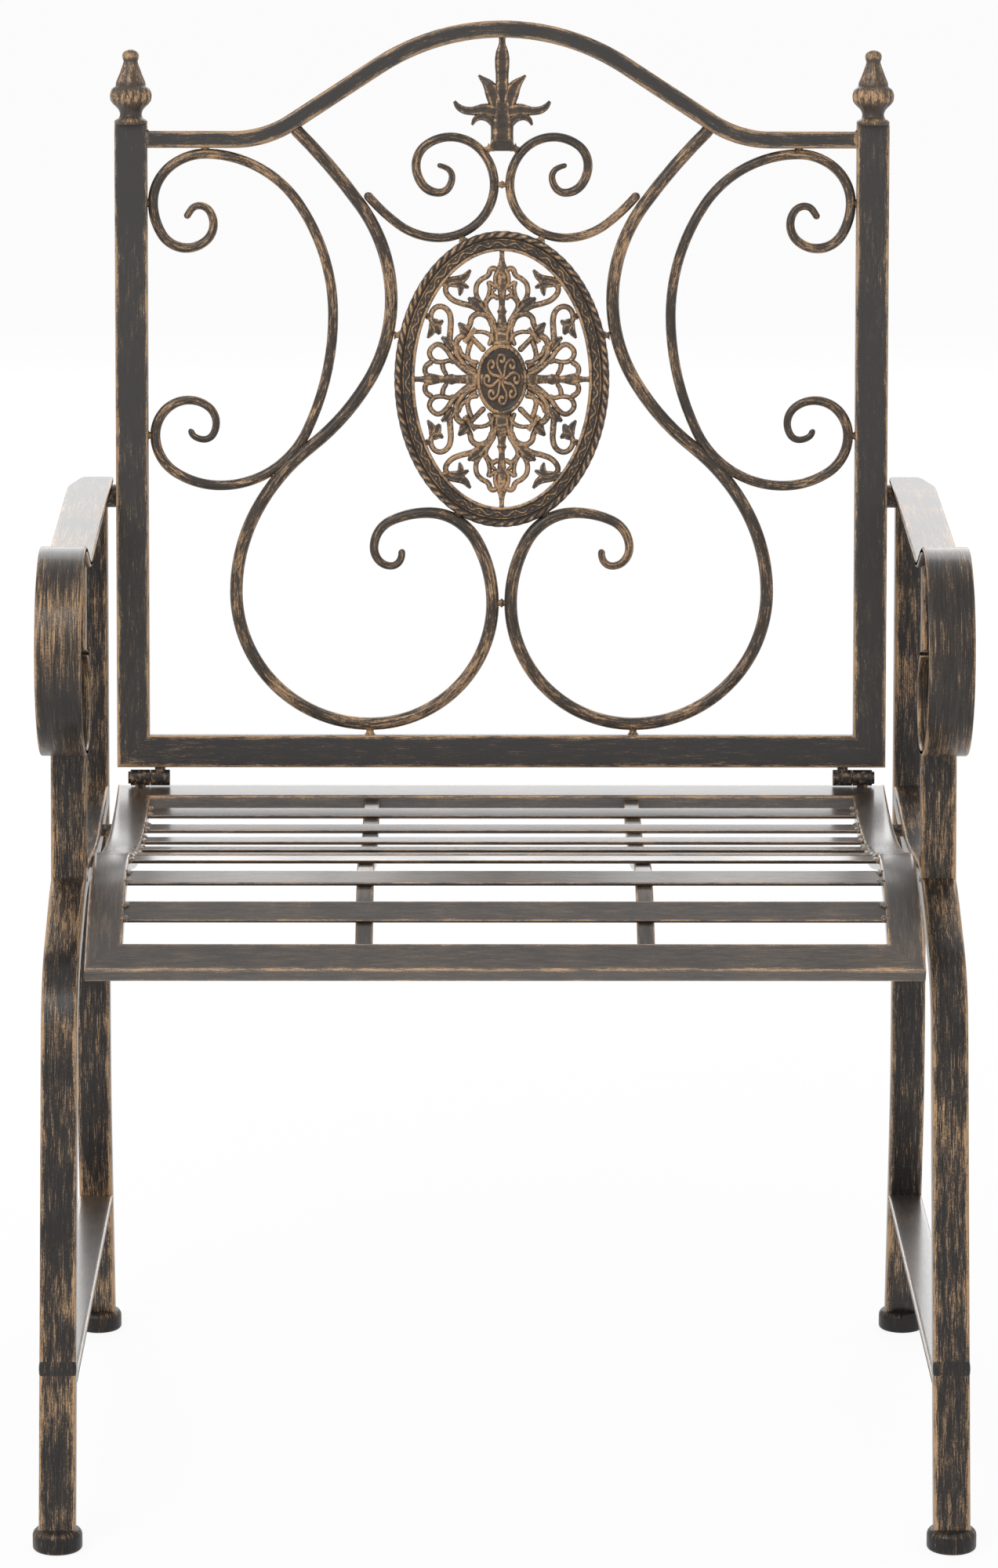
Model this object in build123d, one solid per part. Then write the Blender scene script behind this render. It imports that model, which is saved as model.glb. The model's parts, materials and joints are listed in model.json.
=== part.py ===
from build123d import *
import os
from math import atan2, cos, degrees, radians, sin, sqrt, tan

# Garden armchair in black iron brushed with copper: a folding openwork back on a slatted seat.
# Millimetres. X runs to the right of the photo, Y to the back of the chair and Z up from the floor.
# Pieces are drawn with Y = 0 on the back's hinge line and moved to the middle of the chair at the end.

# Seat
seat_width = 570.0
hinge_z = 432.5             # height of the back's hinge line
seat_rear_y = 5.0
seat_below_hinge = 6.1      # rear edge of the seat, down from the hinge line
seat_rear_slope = 9.2       # degrees
seat_valley_radius = 683.0
seat_valley_turn = 23.6
seat_hump_radius = 157.0
seat_hump_turn = 46.9
seat_front_run = 45.4
rail_width = 25.0
rail_depth = 12.0
slat_count = 9
slat_width = 20.0
slat_depth = 2.4
slat_drop = 1.5             # slats sit this much below the top of the rails
support_x = 96.0
support_width = 12.0
support_depth = 8.0

# Side frames
side_gap = 7.5              # between the seat and the legs
leg_width = 25.0            # leg tube across the chair
leg_depth = 15.0            # leg tube in the plane of the side frame
front_foot_y = -486.0       # middle of the front foot
front_knee_y = -382.4       # bend at the top of the front leg
front_knee_down = 61.5      # down from the hinge line, as the next heights are
front_knee_radius = 72.5
brow_y = -263.0             # high bend of the side bar, under the front post
brow_down = 14.5
brow_radius = 150.0
sag_y = -114.0              # low bend of the side bar
sag_down = 31.0
sag_radius = 400.0
bar_rear_y = 16.0           # end of the side bar, inside the rear leg
bar_rear_down = 15.8
rear_foot_y = 21.0          # middle of the rear foot
rear_knee_y = -6.0          # bend of the rear leg
rear_knee_z = 200.0
rear_knee_radius = 350.0
rear_leg_lean = 6.5         # degrees back, above the bend
post_foot_y = -264.0        # front post, where it stands on the side bar
post_foot_down = 17.0
post_head_ahead = 14.0      # front post, where it meets the arm, ahead of the dip
stretcher_z = 108.0
stretcher_depth = 5.0

# Foot caps
cap_radius = 17.0
cap_height = 15.0
cap_shoulder = 5.0          # rounding of the top
cap_toe = 2.5               # rounding of the bottom
cap_floor = 5.0             # thickness under the end of the leg

# Bolts that hold the seat between the side frames
bolt_rear_at = 80.0         # along the seat from its rear edge
bolt_front_at = 205.0
bolt_below = 9.0            # down from the top of the seat
bolt_diameter = 5.0
bolt_reach = 12.0           # into the rail of the seat
bolt_head_radius = 4.3
bolt_head_height = 3.2
bolt_play = 0.15            # all round the bolt in the leg and the spacer
spacer_diameter = 9.0

# Arms
arm_width = 32.0
arm_thickness = 5.0
arm_rear_y = 58.0
arm_rear_z = 646.5
arm_drop = 2.6              # degrees down towards the front
arm_straight = 269.0
arm_dip_radius = 60.0
arm_rise = 24.0             # degrees up from the dip to the scroll
arm_rise_run = 24.2
arm_scroll_radius = 70.0
arm_curl_radius = 34.0
arm_curl_turn = 170.0
arm_corner_x = 9.5          # rear outer corner cut away
arm_corner_y = 35.0

# Back, as wide as the seat that it folds on to
back_width = seat_width
recline = 7.0               # degrees
back_tube = 24.0            # posts and bottom rail as seen from the front
back_depth = 12.0
back_start = 8.0            # underside of the bottom rail, up from the hinge line
post_height = 482.0         # top of the posts, up from the hinge line
top_rail_height = 12.6
top_rail_drop = 10.5        # middle of the top rail beside the posts, below their tops
shoulder_in = 87.0          # bend where the arch starts, in from the posts
shoulder_radius = 80.0
arch_slope = 33.0           # degrees
arch_radius = 167.0
lyre_radius = 4.75
side_scroll_radius = 3.75
volute_radius = 3.4
stud_radius = 2.6           # weld studs of the scrolls
foot_stud_radius = 3.2      # weld studs under the lyre rods
medallion_depth = 10.0
boss_depth = 8.0
tracery_depth = 5.0
stroke_width = 2.6
fleur_depth = 7.0
peg_diameter = 17.0
peg_up = 208.5              # stop peg, up the back from the hinge line
peg_behind = 20.0           # length of the peg behind the post

# Hinges
barrel_radius = 5.9
barrel_inset = 24.25        # parting of the two barrels, in from the side of the seat
barrel_gap = 0.5
barrel_length = 14.2
nub_width = 7.5             # weld nub between a barrel and its rail
nub_depth = 7.0
pin_diameter = 6.0
pin_play = 0.05             # running play all round the pin
pin_head_radius = 4.6
pin_head_height = 1.8

seated = 0.3                # gap left where one piece is welded to the next without a modelled bead

SIDE = Plane.YZ             # drawing plane of the side frames: Y across the sheet, Z up it
RECLINE = radians(recline)
BACK = Plane(origin=(0, 0, hinge_z), x_dir=(1, 0, 0), z_dir=(0, -cos(RECLINE), sin(RECLINE)))


def heading(angle):
    """Unit vector at an angle in degrees."""
    return Vector(cos(radians(angle)), sin(radians(angle)))


def run(start, angle, steps):
    """Chain of straight runs (length,) and bends (radius, turn to the left in degrees)."""
    edges = []
    here = Vector(*start)
    for step in steps:
        if len(step) == 1:
            edge = Line(here, here + heading(angle) * step[0])
        else:
            edge = JernArc(here, heading(angle), step[0], step[1])
            angle += step[1]
        edges.append(edge.edge())
        here = edge @ 1
    return Wire(edges)


def bent_line(points, radii):
    """Polyline with rounded bends."""
    return FilletPolyline(*points, radius=radii).wire()


def arc_or_line(start, end, direction):
    """Arc that leaves start in a given direction and ends at end."""
    chord = (end - start).normalized()
    if abs(direction.X * chord.Y - direction.Y * chord.X) < 1e-4:
        return Line(start, end).edge()
    return TangentArc(start, end, tangent=direction).edge()


def scroll_line(knots):
    """Smooth scroll through knots (x, y, heading in degrees), two arcs from each knot to the next."""
    edges = []
    for (x0, y0, a0), (x1, y1, a1) in zip(knots, knots[1:]):
        start = Vector(x0, y0)
        end = Vector(x1, y1)
        out = heading(a0)
        into = heading(a1)
        span = end - start
        along = span.dot(out + into)
        spread = 2 * (1 - out.dot(into))
        if spread < 1e-6:
            reach = span.dot(span) / (4 * span.dot(into))
        else:
            reach = (sqrt(along ** 2 + spread * span.dot(span)) - along) / spread
        middle = (start + end + (out - into) * reach) * 0.5
        chord = (middle - start).normalized()
        passing = chord * (2 * chord.dot(out)) - out
        edges.append(arc_or_line(start, middle, out))
        edges.append(arc_or_line(middle, end, passing))
    return Wire(edges)


def band(path, thickness):
    """Flat strip of a given thickness with the path along its middle."""
    edge = path.offset_2d(thickness / 2, side=Side.LEFT, closed=False)
    for side in (Side.LEFT, Side.RIGHT):
        face = Face(edge.offset_2d(thickness, side=side, closed=True))
        if face.is_inside(path @ 0.5):
            return face
    return face


def layer(path, depth_from, depth_to):
    """Strip lying between two depths to the left of the path."""
    edge = path if depth_from == 0 else path.offset_2d(depth_from, side=Side.LEFT, closed=False)
    outer = path.offset_2d(depth_to, side=Side.LEFT, closed=False)
    ends = []
    for point in (edge @ 0, edge @ 1):
        near = min((outer @ 0, outer @ 1), key=lambda other: (other - point).length)
        ends.append(Line(point, near).edge())
    return Face(Wire([*edge.edges(), *outer.edges(), *ends]))


def across(face, x_from, x_to):
    """Side-frame outline made solid between two X positions."""
    return SIDE.offset(x_from) * extrude(face, x_to - x_from, dir=(0, 0, 1))


def rod(path, radius):
    """Round rod along a path."""
    section = Plane(origin=path @ 0, z_dir=path % 0) * Circle(radius)
    return sweep(section, path=path)


def stud(start, end, radius):
    """Short round bar between two points of the back's drawing."""
    first = Vector(*start)
    last = Vector(*end)
    return Plane(origin=first, z_dir=last - first) * Cylinder(
        radius, (last - first).length, align=(Align.CENTER, Align.CENTER, Align.MIN)
    )


def flat(points):
    """Flat outline with straight sides."""
    return make_face(Polyline(*points, close=True))


def flipped(shape):
    """The same piece on the other side of the chair."""
    return mirror(shape, about=Plane.YZ)


parts = {}


def pair(name, shape):
    """Keep a piece of the right side and its twin on the left."""
    parts[name + "_right"] = shape
    parts[name + "_left"] = flipped(shape)


seat_half = seat_width / 2
back_half = back_width / 2
leg_in = seat_half + side_gap
leg_out = leg_in + leg_width
side_frame_x = leg_in + leg_width / 2

# Seat, drawn in side view and carried across the chair
seat_line = run(
    (seat_rear_y, hinge_z - seat_below_hinge),
    180 + seat_rear_slope,
    [
        (seat_valley_radius, -seat_valley_turn),
        (seat_hump_radius, seat_hump_turn),
        (seat_front_run,),
    ],
)
seat_length = seat_line.length
seat_front = seat_line @ 1
seat_sheet = across(layer(seat_line, 0, rail_depth), -seat_half, seat_half)
rear_inner_y = (seat_line @ (rail_width / seat_length)).X
front_inner_y = (seat_line @ (1 - rail_width / seat_length)).X
inner = seat_half - rail_width
over = 6.0                  # the plan outlines run past the sloping end faces


def seat_plan(points):
    """Part of the seat frame inside an outline seen from above."""
    return seat_sheet & extrude(flat(points), 600, dir=(0, 0, 1))


rear_slack = over * rail_width / (seat_rear_y - rear_inner_y)
front_slack = over * rail_width / (front_inner_y - seat_front.X)
rear_rail = seat_plan(
    [
        (-seat_half - rear_slack, seat_rear_y + over),
        (seat_half + rear_slack, seat_rear_y + over),
        (inner, rear_inner_y),
        (-inner, rear_inner_y),
    ]
)
front_rail = seat_plan(
    [
        (-seat_half - front_slack, seat_front.X - over),
        (seat_half + front_slack, seat_front.X - over),
        (inner, front_inner_y),
        (-inner, front_inner_y),
    ]
)
side_rail = seat_plan(
    [
        (seat_half + rear_slack, seat_rear_y + over),
        (inner, rear_inner_y),
        (inner, front_inner_y),
        (seat_half + front_slack, seat_front.X - over),
    ]
)

slat_sheet = across(layer(seat_line, slat_drop, slat_drop + slat_depth), -inner, inner)
slat_gap = (seat_length - 2 * rail_width - slat_count * slat_width) / (slat_count + 1)
for number in range(slat_count):
    at = rail_width + slat_gap * (number + 1) + slat_width * (number + 0.5)
    point = seat_line @ (at / seat_length)
    along = seat_line % (at / seat_length)
    frame = Plane(origin=(0, point.X, point.Y), x_dir=(1, 0, 0), z_dir=(0, along.Y, -along.X))
    parts["seat_slat_%d" % (number + 1)] = slat_sheet & (frame * Box(seat_width, slat_width, 60))

support_sheet = across(
    layer(seat_line, slat_drop + slat_depth, slat_drop + slat_depth + support_depth),
    support_x - support_width / 2,
    support_x + support_width / 2,
)
support_room = extrude(
    flat([(0, rear_inner_y), (seat_half, rear_inner_y), (seat_half, front_inner_y), (0, front_inner_y)]),
    600,
    dir=(0, 0, 1),
)
pair("seat_support_bar", support_sheet & support_room)

# Side frames
front_knee_z = hinge_z - front_knee_down
front_leg_line = bent_line(
    [
        (bar_rear_y, hinge_z - bar_rear_down),
        (sag_y, hinge_z - sag_down),
        (brow_y, hinge_z - brow_down),
        (front_knee_y, front_knee_z),
        (front_foot_y, 0),
    ],
    [sag_radius, brow_radius, front_knee_radius],
)
front_leg = across(band(front_leg_line, leg_depth), leg_in, leg_out)
lean = tan(radians(rear_leg_lean))
rear_leg_top_z = arm_rear_z + 30
rear_leg_top_y = rear_knee_y + (rear_leg_top_z - rear_knee_z) * lean
rear_leg_line = bent_line(
    [(rear_foot_y, 0), (rear_knee_y, rear_knee_z), (rear_leg_top_y, rear_leg_top_z)],
    rear_knee_radius,
)
rear_leg = across(band(rear_leg_line, leg_depth), leg_in, leg_out)

arm_line = run(
    (arm_rear_y, arm_rear_z),
    180 + arm_drop,
    [
        (arm_straight,),
        (arm_dip_radius, -arm_drop - arm_rise),
        (arm_rise_run,),
        (arm_scroll_radius, 180 + arm_rise),
        (arm_curl_radius, arm_curl_turn),
    ],
)
arm_in = side_frame_x - arm_width / 2
arm_out = side_frame_x + arm_width / 2
arm = across(band(arm_line, arm_thickness), arm_in, arm_out)
arm_end_y = arm_rear_y + arm_thickness
corner = extrude(
    flat([(arm_out, arm_rear_y - arm_corner_y), (arm_out, arm_end_y), (arm_out - arm_corner_x, arm_end_y)]),
    arm_rear_z * 2,
    dir=(0, 0, 1),
)
arm = arm - corner

arm_up = Vector(0, -sin(radians(arm_drop)), cos(radians(arm_drop)))
arm_under = Plane(
    origin=Vector(side_frame_x, arm_rear_y, arm_rear_z) - arm_up * (arm_thickness / 2),
    x_dir=(1, 0, 0),
    z_dir=arm_up,
)
above_arm = arm_under * Box(60, 400, 100, align=(Align.CENTER, Align.CENTER, Align.MIN))
below_floor = Pos(side_frame_x, 0, 0) * Box(60, 1500, 2 * cap_floor)
rear_leg = rear_leg - above_arm - below_floor
front_leg = front_leg - rear_leg - below_floor

dip_middle = Vector(arm_rear_y, arm_rear_z) + heading(180 + arm_drop) * arm_straight
dip_middle = dip_middle + heading(90 + arm_drop) * arm_dip_radius
post_foot = Vector(post_foot_y, hinge_z - post_foot_down)
post_head = dip_middle - Vector(post_head_ahead, arm_dip_radius - leg_depth)
post_along = (post_head - post_foot).normalized()
post_side = Vector(-post_along.Y, post_along.X) * (leg_depth / 2)
post_face = flat([post_foot + post_side, post_foot - post_side, post_head - post_side, post_head + post_side])
front_post = across(post_face, leg_in, leg_out) - front_leg - arm
front_post = front_post.solids().sort_by(Axis.Z)[0]

front_shin = (front_knee_y - front_foot_y) / front_knee_z
rear_shin = (rear_knee_y - rear_foot_y) / rear_knee_z
stretcher_front = front_foot_y + front_shin * stretcher_z
stretcher_rear = rear_foot_y + rear_shin * stretcher_z
stretcher = Pos(side_frame_x, (stretcher_front + stretcher_rear) / 2, stretcher_z) * Box(
    leg_width, stretcher_rear - stretcher_front, stretcher_depth
)
stretcher = stretcher - front_leg - rear_leg


def foot_cap(foot_y, line, at_start, leg):
    """Round plastic cap on the end of a leg, set under the middle of the part of the leg that it holds."""
    along = line % 0 if at_start else (line % 1) * -1
    middle = foot_y + along.X / along.Y * (cap_floor + cap_height) / 2
    cap = Cylinder(cap_radius, cap_height, align=(Align.CENTER, Align.CENTER, Align.MIN))
    cap = fillet(cap.edges().sort_by(Axis.Z)[-1], cap_shoulder)
    cap = fillet(cap.edges().sort_by(Axis.Z)[0], cap_toe)
    return Pos(side_frame_x, middle, 0) * cap - leg


pair("foot_cap_front", foot_cap(front_foot_y, front_leg_line, False, front_leg))
pair("foot_cap_rear", foot_cap(rear_foot_y, rear_leg_line, True, rear_leg))

# Bolts and spacers between the seat and the side bars
bolts = []
spacers = []
for bolt_at in (bolt_rear_at, bolt_front_at):
    on_line = seat_line @ (bolt_at / seat_length)
    turned = (seat_line % (bolt_at / seat_length)).rotate(Axis.Z, 90)
    bolt_spot = on_line + turned * bolt_below
    spot = SIDE.offset(seat_half) * Pos(bolt_spot.X, bolt_spot.Y, 0)
    low = (Align.CENTER, Align.CENTER, Align.MIN)
    shank = spot * Pos(0, 0, -bolt_reach) * Cylinder(
        bolt_diameter / 2, bolt_reach + side_gap + leg_width, align=low
    )
    head = spot * Pos(0, 0, side_gap + leg_width) * Cylinder(bolt_head_radius, bolt_head_height, align=low)
    sleeve = spot * Cylinder(spacer_diameter / 2, side_gap, align=low)
    clear_hole = spot * Cylinder(bolt_diameter / 2 + bolt_play, side_gap + leg_width, align=low)
    side_rail = side_rail - shank
    front_leg = front_leg - clear_hole
    bolts.append(shank + head)
    spacers.append(sleeve - clear_hole)


def both_sides(shapes):
    """One group of separate solids from pieces of the right side and their twins."""
    return Compound([twin.solid() for shape in shapes for twin in (shape, flipped(shape))])


parts["seat_bolts"] = both_sides(bolts)
parts["seat_spacers"] = both_sides(spacers)

parts["seat_front_rail"] = front_rail
parts["seat_rear_rail"] = rear_rail
pair("seat_side_rail", side_rail)
pair("arm", arm)
pair("front_leg", front_leg)
pair("rear_leg", rear_leg)
pair("front_post", front_post)
pair("side_stretcher", stretcher)

# Back frame, drawn flat: x across the chair and y up the back from the hinge line
opening_half = back_half - back_tube
opening_low = back_start + back_tube


def slab(face, depth):
    """Outline of the back made solid, half of it in front of the middle of the back."""
    return extrude(face, depth / 2, both=True)


post = slab(
    flat(
        [
            (back_half, back_start),
            (back_half, post_height),
            (opening_half, post_height),
            (opening_half, opening_low),
        ]
    ),
    back_depth,
)
bottom_rail = slab(
    flat(
        [
            (-back_half, back_start),
            (back_half, back_start),
            (opening_half, opening_low),
            (-opening_half, opening_low),
        ]
    ),
    back_depth,
)
top_rail_level = post_height - top_rail_drop
shoulder_x = opening_half - shoulder_in
arch_peak = top_rail_level + shoulder_x * tan(radians(arch_slope))
top_rail_line = bent_line(
    [
        (-opening_half, top_rail_level),
        (-shoulder_x, top_rail_level),
        (0, arch_peak),
        (shoulder_x, top_rail_level),
        (opening_half, top_rail_level),
    ],
    [shoulder_radius, arch_radius, shoulder_radius],
)
top_rail = slab(band(top_rail_line, top_rail_height), back_depth)
arch_top = arch_peak - arch_radius * (1 / cos(radians(arch_slope)) - 1)

# Finials turned on the tops of the posts
finial_outline = [
    (0, 0),
    (11.8, 0),
    (11.8, 2.5),
    (8.0, 4.0),
    (8.0, 7.5),
    (13.5, 10.5),
    (15.9, 16.0),
    (15.9, 18.5),
    (13.0, 24.5),
    (11.0, 26.0),
    (10.6, 30.0),
    (7.0, 36.0),
    (4.0, 42.0),
    (3.6, 44.0),
    (5.6, 46.5),
    (6.3, 49.5),
    (5.2, 53.0),
    (2.5, 55.0),
    (0, 55.4),
]
finial = revolve(Plane.XY * flat(finial_outline), Axis.Y)
finial = Pos(back_half - back_tube / 2, post_height, 0) * finial

# Scrollwork, drawn for an opening 261 wide each side and 433.2 high, and fitted to the real opening
fit_x = opening_half / 261.0
fit_y = (top_rail_level - top_rail_height / 2 - opening_low) / 433.2
fit = min(fit_x, fit_y)     # for the thickness of rods and strokes


def slanted(angle):
    """Heading of the scroll drawing, in degrees, in the real opening."""
    return degrees(atan2(sin(radians(angle)) * fit_y, cos(radians(angle)) * fit_x))


def place(x, y):
    """Point of the scroll drawing in the real opening."""
    return (x * fit_x, opening_low + (y - 32.0) * fit_y)


def scroll(knots):
    """Scroll line through knots of the scroll drawing."""
    return scroll_line([(*place(x, y), slanted(angle)) for x, y, angle in knots])


lyre_line = scroll(
    [
        (151.5, 482.0, 224),
        (81.6, 354.0, 270),
        (141.5, 245.5, 322),
        (196.5, 138.0, 270),
        (97.6, 40.2, 180),
        (6.7, 130.0, 90),
        (54.5, 197.0, 0),
        (94.5, 171.0, 270),
        (82.0, 157.5, 180),
        (74.5, 170.0, 72),
    ]
)
side_line = scroll(
    [
        (233.0, 413.5, 118),
        (223.0, 423.0, 180),
        (212.5, 409.5, 270),
        (232.4, 392.0, 0),
        (257.0, 425.0, 90),
        (218.5, 461.0, 180),
        (124.5, 343.0, 270),
        (208.0, 217.0, 0),
        (256.0, 254.0, 90),
        (231.0, 280.0, 180),
        (211.0, 263.0, 270),
        (220.0, 251.0, 0),
        (229.5, 259.0, 100),
    ]
)
volute_line = scroll(
    [
        (98.0, 433.0, 240),
        (46.4, 401.0, 180),
        (5.7, 438.6, 90),
        (38.0, 473.5, 0),
        (63.3, 452.7, 270),
        (46.5, 432.7, 180),
        (36.8, 444.2, 90),
        (47.8, 452.8, 5),
    ]
)
lyre_bare = rod(lyre_line, lyre_radius * fit)
side_bare = rod(side_line, side_scroll_radius * fit)
volute_bare = rod(volute_line, volute_radius * fit)

lyre = lyre_bare + stud((*place(97.6, 40.2), 0), (*place(97.6, 28.0), 0), foot_stud_radius)
lyre = lyre + stud((*place(6.7, 130.0), 0), (0, place(0, 130.0)[1], 0), stud_radius)
lyre = lyre - bottom_rail - top_rail
side_scroll = side_bare + stud((*place(257.0, 425.0), 0), (*place(266.0, 425.0), 0), stud_radius)
side_scroll = side_scroll + stud((*place(256.0, 254.0), 0), (*place(266.0, 254.0), 0), stud_radius)
side_scroll = side_scroll + stud((*place(218.5, 461.0), 0), (*place(218.5, 470.0), 0), stud_radius)
weld_from = Vector(*place(172.0, 229.0))
weld_to = lyre_line.closest_points(weld_from)[0]
side_scroll = side_scroll + stud(weld_from, weld_to, stud_radius)
side_scroll = side_scroll - post - top_rail - lyre
volute = volute_bare + stud((*place(5.7, 438.6), 0), (0, place(0, 438.6)[1], 0), stud_radius)
volute = volute - lyre

# Oval medallion: a ring, a boss and tracery drawn for one quarter and repeated in the other three
oval_x, oval_y = place(0, 295.5)
oval_half = 79.4 * fit_x
oval_tall = 109.3 * fit_y
ring_half = 64.3 * fit_x
ring_tall = 94.2 * fit_y
boss_half = 18.9 * fit_x
boss_tall = 26.6 * fit_y


def oval(x, y, half, tall, turn=0):
    """Filled ellipse of the medallion drawing."""
    return Pos(x * fit_x, y * fit_y) * Rot(0, 0, turn) * Ellipse(half * fit_x, tall * fit_y)


def loop(x, y, half, tall, turn=0):
    """Ellipse drawn with the tracery's stroke around a hole of the given half sizes."""
    return oval(x, y, half + stroke_width, tall + stroke_width, turn) - oval(x, y, half, tall, turn)


def stroke(knots, width=stroke_width):
    """Curved stroke of the medallion drawing."""
    line = scroll_line([(x * fit_x, y * fit_y, slanted(angle)) for x, y, angle in knots])
    return band(line, width * fit)


def leaf(points):
    """Flat leaf of the medallion drawing."""
    return flat([(x * fit_x, y * fit_y) for x, y in points])


loops = [
    (6.5, 76.8, 2.4, 4.4, 0),
    (13.0, 65.0, 4.6, 6.2, 0),
    (6.5, 52.8, 3.4, 6.0, 0),
    (46.6, 19.4, 5.6, 4.2, 0),
    (49.2, 7.4, 4.2, 3.6, 0),
    (33.7, 7.0, 6.0, 3.8, 0),
    (14.6, 42.2, 5.0, 4.8, 0),
    (27.9, 24.8, 3.8, 6.4, 0),
    (19.4, 17.9, 4.2, 6.6, 0),
    (12.7, 29.2, 4.8, 3.6, 0),
]
strokes = [
    [(5.0, 27.0, 95), (13.5, 46.0, 45), (21.3, 56.0, 50)],
    [(21.0, 53.5, 20), (31.4, 56.6, 8), (39.4, 62.0, 80), (41.0, 71.0, 110)],
    [(16.0, 7.5, 15), (31.0, 16.0, 45), (41.9, 29.2, 58)],
    [(38.5, 27.0, 100), (37.6, 40.0, 88), (41.4, 53.0, 55), (47.6, 55.0, 350), (54.0, 50.5, 320)],
    [(39.6, 62.5, 200), (33.5, 66.0, 120), (29.0, 72.0, 150)],
    [(51.5, 51.5, 250), (47.0, 46.0, 200), (47.0, 41.0, 280)],
]
leaves = [
    [
        (0, 96), (1.9, 96), (1.1, 88), (3.0, 84), (2.2, 80), (4.7, 70),
        (2.0, 57), (2.6, 50), (3.9, 47), (3.6, 24), (0, 24),
    ],
    [
        (66, 0), (66, 1.8), (60, 1.1), (57, 2.6), (55, 2.0), (50, 3.6),
        (42, 1.6), (40, 2.4), (34, 2.0), (16, 2.4), (16, 0),
    ],
    [(19.5, 51.5), (24.5, 60.5), (20.3, 58.5), (17.0, 54.5)],
    [(36.5, 25.0), (44.5, 33.0), (43.2, 28.2), (40.0, 24.0)],
    [(27.5, 69.5), (21.5, 66.5), (26.5, 72.5), (22.0, 82.0), (29.0, 76.0), (36.0, 76.5), (34.0, 69.0)],
    [(44.5, 43.0), (42.6, 39.0), (46.0, 38.5), (53.8, 30.5), (51.0, 39.0), (50.0, 44.0), (47.0, 46.5)],
    [(18.0, 31.0), (20.8, 28.2), (28.8, 34.8), (26.0, 37.6)],
    [(24.5, 35.5), (31.0, 43.5), (26.0, 42.0), (23.0, 38.5)],
    [(26.5, 33.5), (33.0, 38.0), (31.5, 33.5), (28.5, 31.0)],
]
quarter = Sketch() + [loop(*item) for item in loops]
quarter = quarter + [stroke(item) for item in strokes]
quarter = quarter + [leaf(item) for item in leaves]
half_oval = quarter + mirror(quarter, about=Plane.YZ)
tracery = half_oval + mirror(half_oval, about=Plane.XZ)
ring = Ellipse(oval_half, oval_tall) - Ellipse(ring_half, ring_tall)
boss = Ellipse(boss_half, boss_tall)
inside = Ellipse(ring_half + 0.5, ring_tall + 0.5)
medallion = slab(tracery & inside, tracery_depth) + slab(ring, medallion_depth)
medallion = medallion + slab(boss, boss_depth)
medallion = Pos(oval_x, oval_y, 0) * medallion
for x, y, to_x, to_y in ((73.0, 328.0, 84.5, 328.0), (29.0, 201.0, 33.5, 190.0), (26.0, 395.0, 30.0, 403.5)):
    for way in (1, -1):
        from_point = place(x * way, y)
        to_point = place(to_x * way, to_y)
        medallion = medallion + stud((*from_point, 0), (*to_point, 0), stud_radius)
for shape in (lyre, flipped(lyre), volute, flipped(volute)):
    medallion = medallion - shape

# Fleur-de-lis between the volutes and the crown of the arch
fleur_low = place(0, 463.0)[1]
fleur_high = arch_top - top_rail_height / 2 - seated


def lily(x, y):
    """Point of the fleur drawing, which is 81.4 high."""
    return (x * fit_x, fleur_low + (y - 463.0) / 81.4 * (fleur_high - fleur_low))


def bow(first, through, last):
    """Arc of the fleur drawing through three points."""
    return ThreePointArc(lily(*first), lily(*through), lily(*last)).edge()


fleur_side = [
    Line(lily(0, 544.4), lily(2.4, 544.4)).edge(),
    Line(lily(2.4, 544.4), lily(2.2, 540.7)).edge(),
    bow((2.2, 540.7), (5.5, 528.0), (6.8, 518.3)),
    bow((6.8, 518.3), (12.5, 519.0), (17.7, 516.8)),
    bow((17.7, 516.8), (10.0, 507.5), (7.0, 497.0)),
    bow((7.0, 497.0), (16.0, 498.6), (25.0, 496.2)),
    bow((25.0, 496.2), (31.0, 496.6), (35.0, 499.6)),
    bow((35.0, 499.6), (36.4, 499.0), (36.2, 497.0)),
    bow((36.2, 497.0), (31.0, 490.5), (22.5, 488.4)),
    bow((22.5, 488.4), (22.6, 484.0), (20.6, 479.7)),
    bow((20.6, 479.7), (13.0, 482.0), (6.6, 471.7)),
    Line(lily(6.6, 471.7), lily(8.2, 471.4)).edge(),
    Line(lily(8.2, 471.4), lily(14.5, 466.0)).edge(),
    Line(lily(14.5, 466.0), lily(12.0, 463.0)).edge(),
    Line(lily(12.0, 463.0), lily(0, 463.0)).edge(),
]
fleur_half = Wire(fleur_side)
fleur_face = Face(Wire([*fleur_half.edges(), *mirror(fleur_half, about=Plane.YZ).edges()]))
fleur = slab(fleur_face, fleur_depth) - volute - flipped(volute)

# Hinges between the seat's rear rail and the bottom rail of the back
barrel_split = seat_half - barrel_inset
seat_barrel_x = barrel_split + barrel_gap / 2
back_barrel_x = barrel_split - barrel_gap / 2
HINGE = Pos(0, 0, hinge_z)
to_right = (Align.CENTER, Align.CENTER, Align.MIN)


def turned_bar(x_from, length, radius):
    """Round bar along the hinge line."""
    return HINGE * (SIDE.offset(x_from) * Cylinder(radius, length, align=to_right))


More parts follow.
